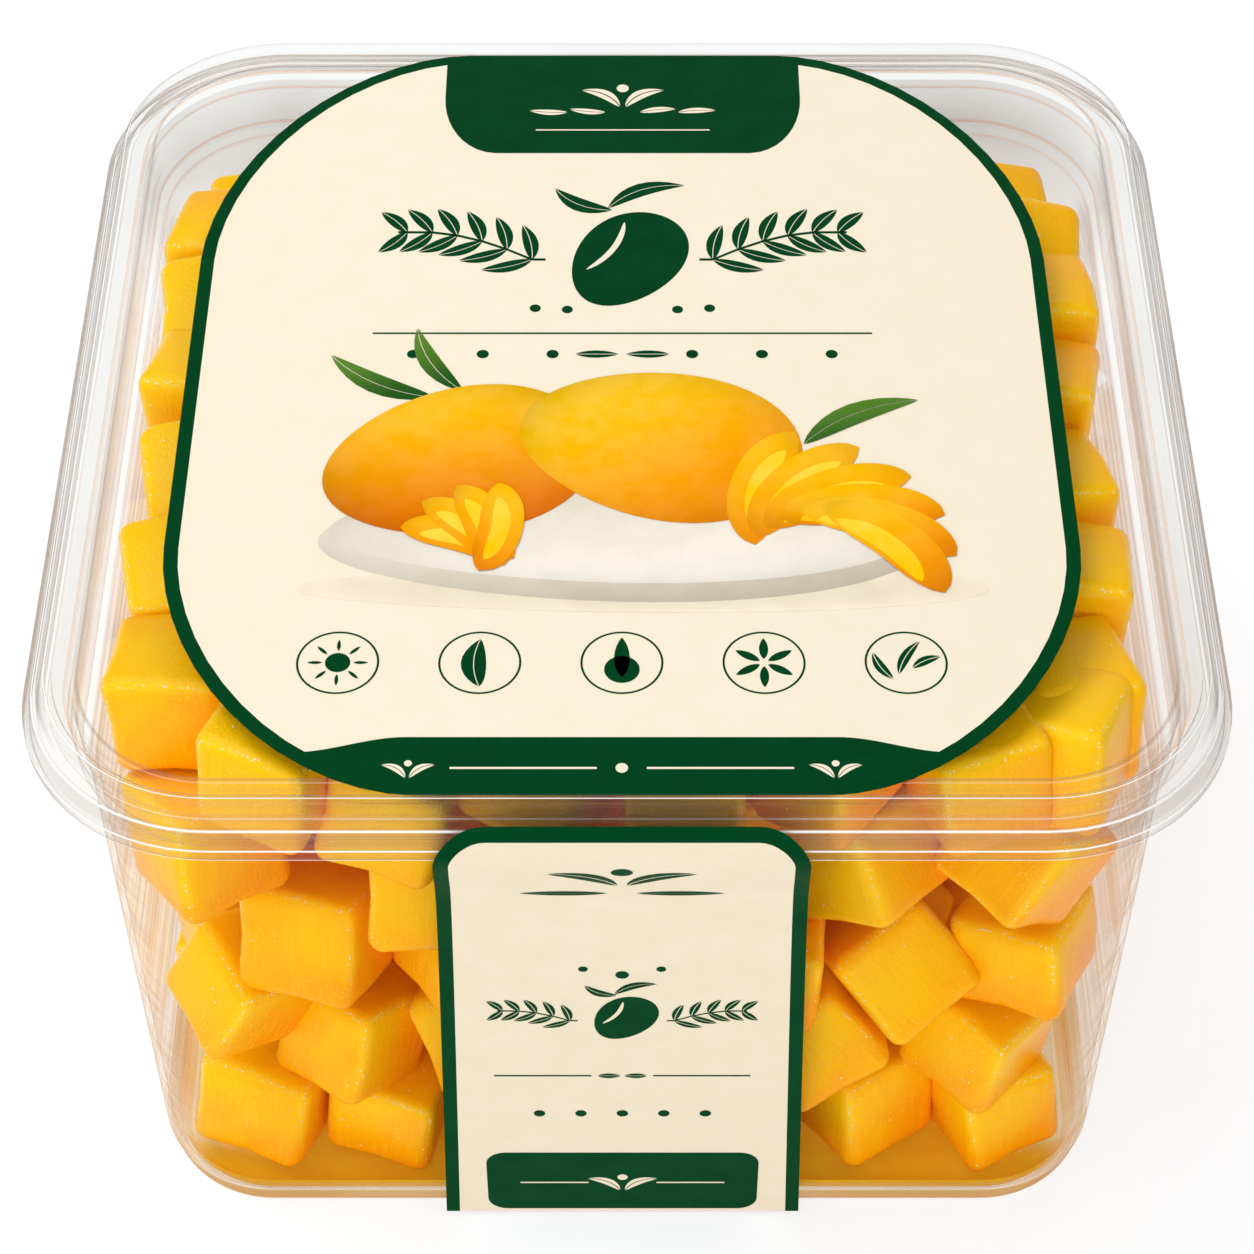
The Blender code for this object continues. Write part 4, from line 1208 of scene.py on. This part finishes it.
def fruit_picture():
    """A plain still life in flat fields: two whole fruits, a fan of slices, leaves and a dish."""
    shapes = []
    paints = []

    def put(shape, light, dark, way=(-0.4, 0.8), rim=0.15):
        shapes.append(shape)
        paints.append(gradient(light, dark, way, rim))

    paper = (0.865, 0.775, 0.615)
    shade = (0.70, 0.61, 0.46)
    put(oval(2.0, -29.6, 35.0, 3.2), paper, shade, (0.0, -0.2), -0.12)
    put(oval(0.0, -23.0, 31.0, 8.4), (0.86, 0.80, 0.69), (0.62, 0.55, 0.44))
    put(oval(0.0, -21.6, 30.0, 7.2), (0.93, 0.88, 0.78), (0.72, 0.65, 0.53), (0.2, -0.7))
    leaf_green, leaf_dark = (0.10, 0.23, 0.03), (0.012, 0.08, 0.012)
    for x, y, turn, size in ((-20.0, -2.0, 150, 13.0), (-17.0, -1.0, 118, 11.0), (19.0, -9.0, 28, 14.0)):
        for half in leaves([(x, y)], [turn], size, size * 0.17, bend=0.1):
            put(half[0], leaf_green, leaf_dark, rim=0.0)
    flesh, ripe_and_shade = (1.0, 0.55, 0.02), (0.88, 0.26, 0.004)
    put(oval(-17.0, -11.5, 14.5, 10.6, 18), (1.0, 0.56, 0.03), (0.78, 0.16, 0.008), (-0.2, 0.9), 0.22)
    put(oval(4.0, -9.0, 15.0, 10.8, -14), (1.0, 0.60, 0.04), (0.90, 0.28, 0.008), (-0.5, 0.7), 0.22)
    for k in range(6):
        turn = 74 - k * 24
        x = 15.5 + 5.4 * math.cos(math.radians(turn + 12)) + k * 1.3
        y = -21.0 + 5.6 * math.sin(math.radians(turn + 12))
        put(wedge(x, y, turn, 17.0, 5.6, 0.9), flesh, ripe_and_shade, (-0.3, 0.75), 0.1)
        put(wedge(x - 0.4, y - 0.3, turn, 12.0, 2.4, 0.9), (1.0, 0.66, 0.06), flesh, (0.2, 0.8), 0.0)
    for k in range(4):
        turn = 20 + k * 26
        x = -12.5 - 4.6 * math.cos(math.radians(turn)) - k * 0.6
        y = -24.6 + 3.6 * math.sin(math.radians(turn))
        put(wedge(x, y, 180 - turn, 12.5, 4.6, -0.8), flesh, ripe_and_shade, (0.3, 0.75), 0.1)
        put(wedge(x + 0.3, y - 0.3, 180 - turn, 9.0, 1.9, -0.8), (1.0, 0.66, 0.06), flesh, (-0.2, 0.8), 0.0)
    return shapes, paints


def front_half(run):
    """Half width of the front label at a distance down it, with its round top corners."""
    share = run / FRONT_LENGTH
    half = FRONT_TOP_HALF + (FRONT_LOW_HALF - FRONT_TOP_HALF) * share
    near = np.clip(FRONT_CORNER - run, 0, FRONT_CORNER)
    return half - FRONT_CORNER + np.sqrt(FRONT_CORNER ** 2 - near ** 2)


def make_front_label(settings):
    """The front label: a strip carried down the lid's skirt and the wall, with its own print."""
    border, sheet = settings.border, settings.sheet
    ink = bpy.data.materials["label_ink"]
    paper = print_material("front_label_paper", settings.shaded_front_paper, 0.5, 0.02)
    corner = 3.6 * MM
    bend = 1 - np.cos(np.linspace(0, math.pi / 2, 10))
    run = np.unique(np.round(np.concatenate([
        FRONT_CORNER * bend, border + corner * bend, np.linspace(FRONT_CORNER, FRONT_LENGTH, 60),
    ]), 7))
    half = front_half(run)
    near = np.clip(corner - (run - border), 0, corner)
    inner = front_half(np.maximum(run, FRONT_CORNER)) - border
    inner = inner - corner + np.sqrt(corner ** 2 - near ** 2)
    inner = np.minimum(inner, half * 0.96)
    share = np.linspace(-1, 1, 13)
    columns = np.concatenate([-half[:, None], inner[:, None] * share, half[:, None]], 1)
    plan = np.stack([columns, np.broadcast_to(run[:, None], columns.shape)], -1)[:, ::-1]
    rows, cols = plan.shape[:2]
    front = on_front(plan, sheet)
    back = on_front(plan, 0.0)
    faces = grid_faces(rows, cols)
    column = np.arange(cols - 1)[None]
    pale = (run[:-1, None] >= border - 1e-7) & (column > 0) & (column < cols - 2)
    which = pale.reshape(-1).astype(int).tolist()
    turned_back = (faces + rows * cols)[:, ::-1]
    rim = np.concatenate([
        np.arange(cols), np.arange(1, rows) * cols + cols - 1,
        (rows - 1) * cols + np.arange(cols - 2, -1, -1), np.arange(rows - 2, 0, -1) * cols,
    ])
    nxt = np.roll(rim, -1)
    sides = np.stack([nxt, rim, rim + rows * cols, nxt + rows * cols], -1)
    every = np.concatenate([faces, turned_back, sides]).tolist()
    which += [0] * (len(every) - len(which))
    label = add_piece("front_label_sheet", np.concatenate([front, back]), every, [ink, paper],
                      which=which, smooth=False)
    label.data.set_sharp_from_angle(angle=math.radians(30))
    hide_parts("front_label")

    def down(shapes):
        return [np.stack([shape[..., 0], -shape[..., 1]], -1) for shape in shapes]

    field = bar(-15.1 * MM, 15.1 * MM, -77.3 * MM, -65.6 * MM, 2.2 * MM)
    field = ruled(field[:, 0], field[:, 1], 14)
    dark = [field]
    dark += sprig(0.0, -11.4, 8.2)
    dark += leaves([(-1.5, -14.2), (1.5, -14.2)], [180, 0], 8.6, 0.9, bend=0.0)
    dark += garland(0.0, -42.6, 13.0, 4.8, 5, 3.7, start=0.42)
    dark.append(oval(0.3, -39.2, 4.2, 3.1, 62))
    dark += leaves([(-0.8, -34.7), (-0.6, -34.9)], [24, 150], [4.8, 3.8], 0.9, bend=0.14)
    for x, y, radius in ((0.0, -31.0, 0.7), (-4.0, -29.9, 0.5), (4.0, -29.9, 0.5)):
        dark.append(disc(x * MM, y * MM, radius * MM))
    for x in (-8.5, 8.5):
        dark.append(bar((x - 5.2) * MM, (x + 5.2) * MM, -50.3 * MM, -50.05 * MM))
    dark += leaves([(-2.6, -50.2), (2.6, -50.2)], [0, 180], 2.4, 0.7, bend=0.0)
    for place in (-9.0, -4.5, 0.0, 4.5, 9.0):
        dark.append(disc(place * MM, -57.6 * MM, 0.62 * MM))
    add_print("front_label_ink", down(dark), on_front, sheet + 0.03 * MM, ink, HAIR)
    pale = sprig(0.0, -73.4, 4.4)
    pale.append(wedge(-1.0, -38.1, 62, 4.6, 0.45, -0.9))
    for x in (-7.6, 7.6):
        pale.append(bar((x - 3.8) * MM, (x + 3.8) * MM, -71.9 * MM, -71.65 * MM))
    add_print("front_label_pale", down(pale), on_front, sheet + 0.05 * MM, paper, HAIR)


def add_light(name, place, target, power, width, height):
    """A soft rectangular light that faces a point."""
    light = bpy.data.lights.new(name, "AREA")
    light.shape = "RECTANGLE"
    light.size, light.size_y, light.energy = width, height, power
    lamp = bpy.data.objects.new(name, light)
    way = np.array(target, float) - np.array(place, float)
    lamp.location = place
    lamp.rotation_mode = "XYZ"
    lean = math.atan2(math.hypot(way[0], way[1]), -way[2])
    lamp.rotation_euler = (lean, 0.0, math.atan2(-way[0], way[1]))
    bpy.context.scene.collection.objects.link(lamp)


def make_stage(settings):
    """A wide pale floor, an even surround, soft lights and the camera of the photograph."""
    scene = bpy.context.scene
    g = Graph("floor_paint")
    place = g.add("TexCoord", out=3)
    faint = g.noise(place, 30.0, 2.0)
    tint = g.blend(faint, (*settings.floor, 1.0), (*(0.985 * v for v in settings.floor), 1.0))
    paint = g.finish(g.add("BsdfPrincipled", {
        "Base Color": tint,
        "Roughness": 0.6,
        "Specular IOR Level": 0.1,
        "Emission Color": (1.0, 1.0, 1.0, 1.0),
        "Emission Strength": settings.glow,
    }))
    half = FLOOR_HALF
    mesh = bpy.data.meshes.new("floor")
    corners = [(-half, -half, 0), (half, -half, 0), (half, half, 0), (-half, half, 0)]
    mesh.from_pydata(corners, [], [(0, 1, 2, 3)])
    mesh.materials.append(paint)
    floor = bpy.data.objects.new("floor", mesh)
    scene.collection.objects.link(floor)
    floor.location.z = TUB_LOW[2]
    world = bpy.data.worlds.new("surround")
    world.use_nodes = True
    back = world.node_tree.nodes["Background"]
    back.inputs["Color"].default_value = (1.0, 1.0, 1.0, 1.0)
    back.inputs["Strength"].default_value = settings.sky
    scene.world = world
    add_light("main_light", (-0.36, 0.12, 0.76), (0, 0, 0.04), settings.key, 0.5, 0.5)
    add_light("left_edge", (-0.42, -0.22, 0.34), (0, 0, 0.05), settings.edges, 0.003, 0.4)
    add_light("right_edge", (0.46, -0.12, 0.30), (0, 0, 0.05), settings.edges, 0.003, 0.4)
    add_light("front_edge", (0.0, -0.30, 0.62), (0, 0, 0.05), settings.edges, 0.5, 0.003)
    add_light("back_edge", (0.0, 0.45, 0.42), (0, 0, 0.05), settings.edges, 0.5, 0.003)
    sparks = ((-0.5, -0.3, 0.6), (-0.15, -0.55, 0.55), (0.3, -0.2, 0.75), (-0.3, 0.3, 0.6))
    for number, spot in enumerate(sparks):
        add_light(f"spark_{number}", spot, (0, 0, 0.04), settings.spark, 0.01, 0.01)
    add_light("fill_light", (-0.1, -0.8, 0.3), (0, 0, 0.03), settings.fill, 0.8, 0.4)
    add_light("back_fill", (0.1, 0.9, 0.3), (0, 0, 0.03), settings.back_fill, 0.8, 0.4)
    view = bpy.data.cameras.new("camera")
    view.lens, view.sensor_width, view.clip_start = settings.lens, 36.0, 0.001
    eye = bpy.data.objects.new("camera", view)
    eye.location = CAMERA_PLACE
    eye.rotation_euler = (math.radians(CAMERA_TILT), 0.0, 0.0)
    scene.collection.objects.link(eye)
    scene.camera = eye
    scene.view_settings.view_transform = "Standard"
    scene.cycles.max_bounces = 12
    scene.cycles.transparent_max_bounces = 32


class MANGO_TUB_OT_fruit(bpy.types.Operator):
    """Cut the cubes of fruit and lay them in the tub"""

    bl_idname = "mango_tub.fruit"
    bl_label = "Fruit"

    def execute(self, context):
        make_fruit(context.scene.mango_fruit)
        return {"FINISHED"}


class MANGO_TUB_OT_tub(bpy.types.Operator):
    """Press the clear tub"""

    bl_idname = "mango_tub.tub"
    bl_label = "Tub"

    def execute(self, context):
        make_tub(context.scene.mango_plastic)
        return {"FINISHED"}


class MANGO_TUB_OT_lid(bpy.types.Operator):
    """Press the clear lid"""

    bl_idname = "mango_tub.lid"
    bl_label = "Lid"

    def execute(self, context):
        make_lid(context.scene.mango_plastic)
        return {"FINISHED"}


class MANGO_TUB_OT_lid_label(bpy.types.Operator):
    """Print the label on the lid"""

    bl_idname = "mango_tub.lid_label"
    bl_label = "Lid label"

    def execute(self, context):
        make_lid_label(context.scene.mango_label)
        return {"FINISHED"}


class MANGO_TUB_OT_front_label(bpy.types.Operator):
    """Print the narrow label down the front"""

    bl_idname = "mango_tub.front_label"
    bl_label = "Front label"

    def execute(self, context):
        make_front_label(context.scene.mango_label)
        return {"FINISHED"}


class MANGO_TUB_OT_stage(bpy.types.Operator):
    """Set the floor, the lights and the camera"""

    bl_idname = "mango_tub.stage"
    bl_label = "Stage"

    def execute(self, context):
        make_stage(context.scene.mango_stage)
        return {"FINISHED"}


class MANGO_TUB_PT_panel(bpy.types.Panel):
    """The steps in their order"""

    bl_idname = "MANGO_TUB_PT_panel"
    bl_label = "Mango tub"
    bl_space_type = "VIEW_3D"
    bl_region_type = "UI"
    bl_category = "Mango tub"

    def draw(self, context):
        for step in STEPS:
            self.layout.operator(step.bl_idname)
        for group, settings in GROUPS.items():
            for name in settings.__annotations__:
                self.layout.prop(getattr(context.scene, group), name)


STEPS = (
    MANGO_TUB_OT_fruit, MANGO_TUB_OT_tub, MANGO_TUB_OT_lid, MANGO_TUB_OT_lid_label,
    MANGO_TUB_OT_front_label, MANGO_TUB_OT_stage,
)
GROUPS = {
    "mango_fruit": FruitSettings, "mango_plastic": PlasticSettings,
    "mango_label": LabelSettings, "mango_stage": StageSettings,
}


def register():
    """Register the settings, the operators and the panel."""
    for name, group in GROUPS.items():
        bpy.utils.register_class(group)
        setattr(bpy.types.Scene, name, bpy.props.PointerProperty(type=group))
    for cls in (*STEPS, MANGO_TUB_PT_panel):
        bpy.utils.register_class(cls)


def unregister():
    """Take everything back out."""
    for cls in (MANGO_TUB_PT_panel, *reversed(STEPS)):
        bpy.utils.unregister_class(cls)
    for name, group in reversed(GROUPS.items()):
        delattr(bpy.types.Scene, name)
        bpy.utils.unregister_class(group)


def main():
    """Build every piece in order."""
    register()
    bpy.ops.mango_tub.fruit()
    bpy.ops.mango_tub.tub()
    bpy.ops.mango_tub.lid()
    bpy.ops.mango_tub.lid_label()
    bpy.ops.mango_tub.front_label()
    bpy.ops.mango_tub.stage()
    bpy.context.view_layer.update()


if __name__ == "__main__":
    main()
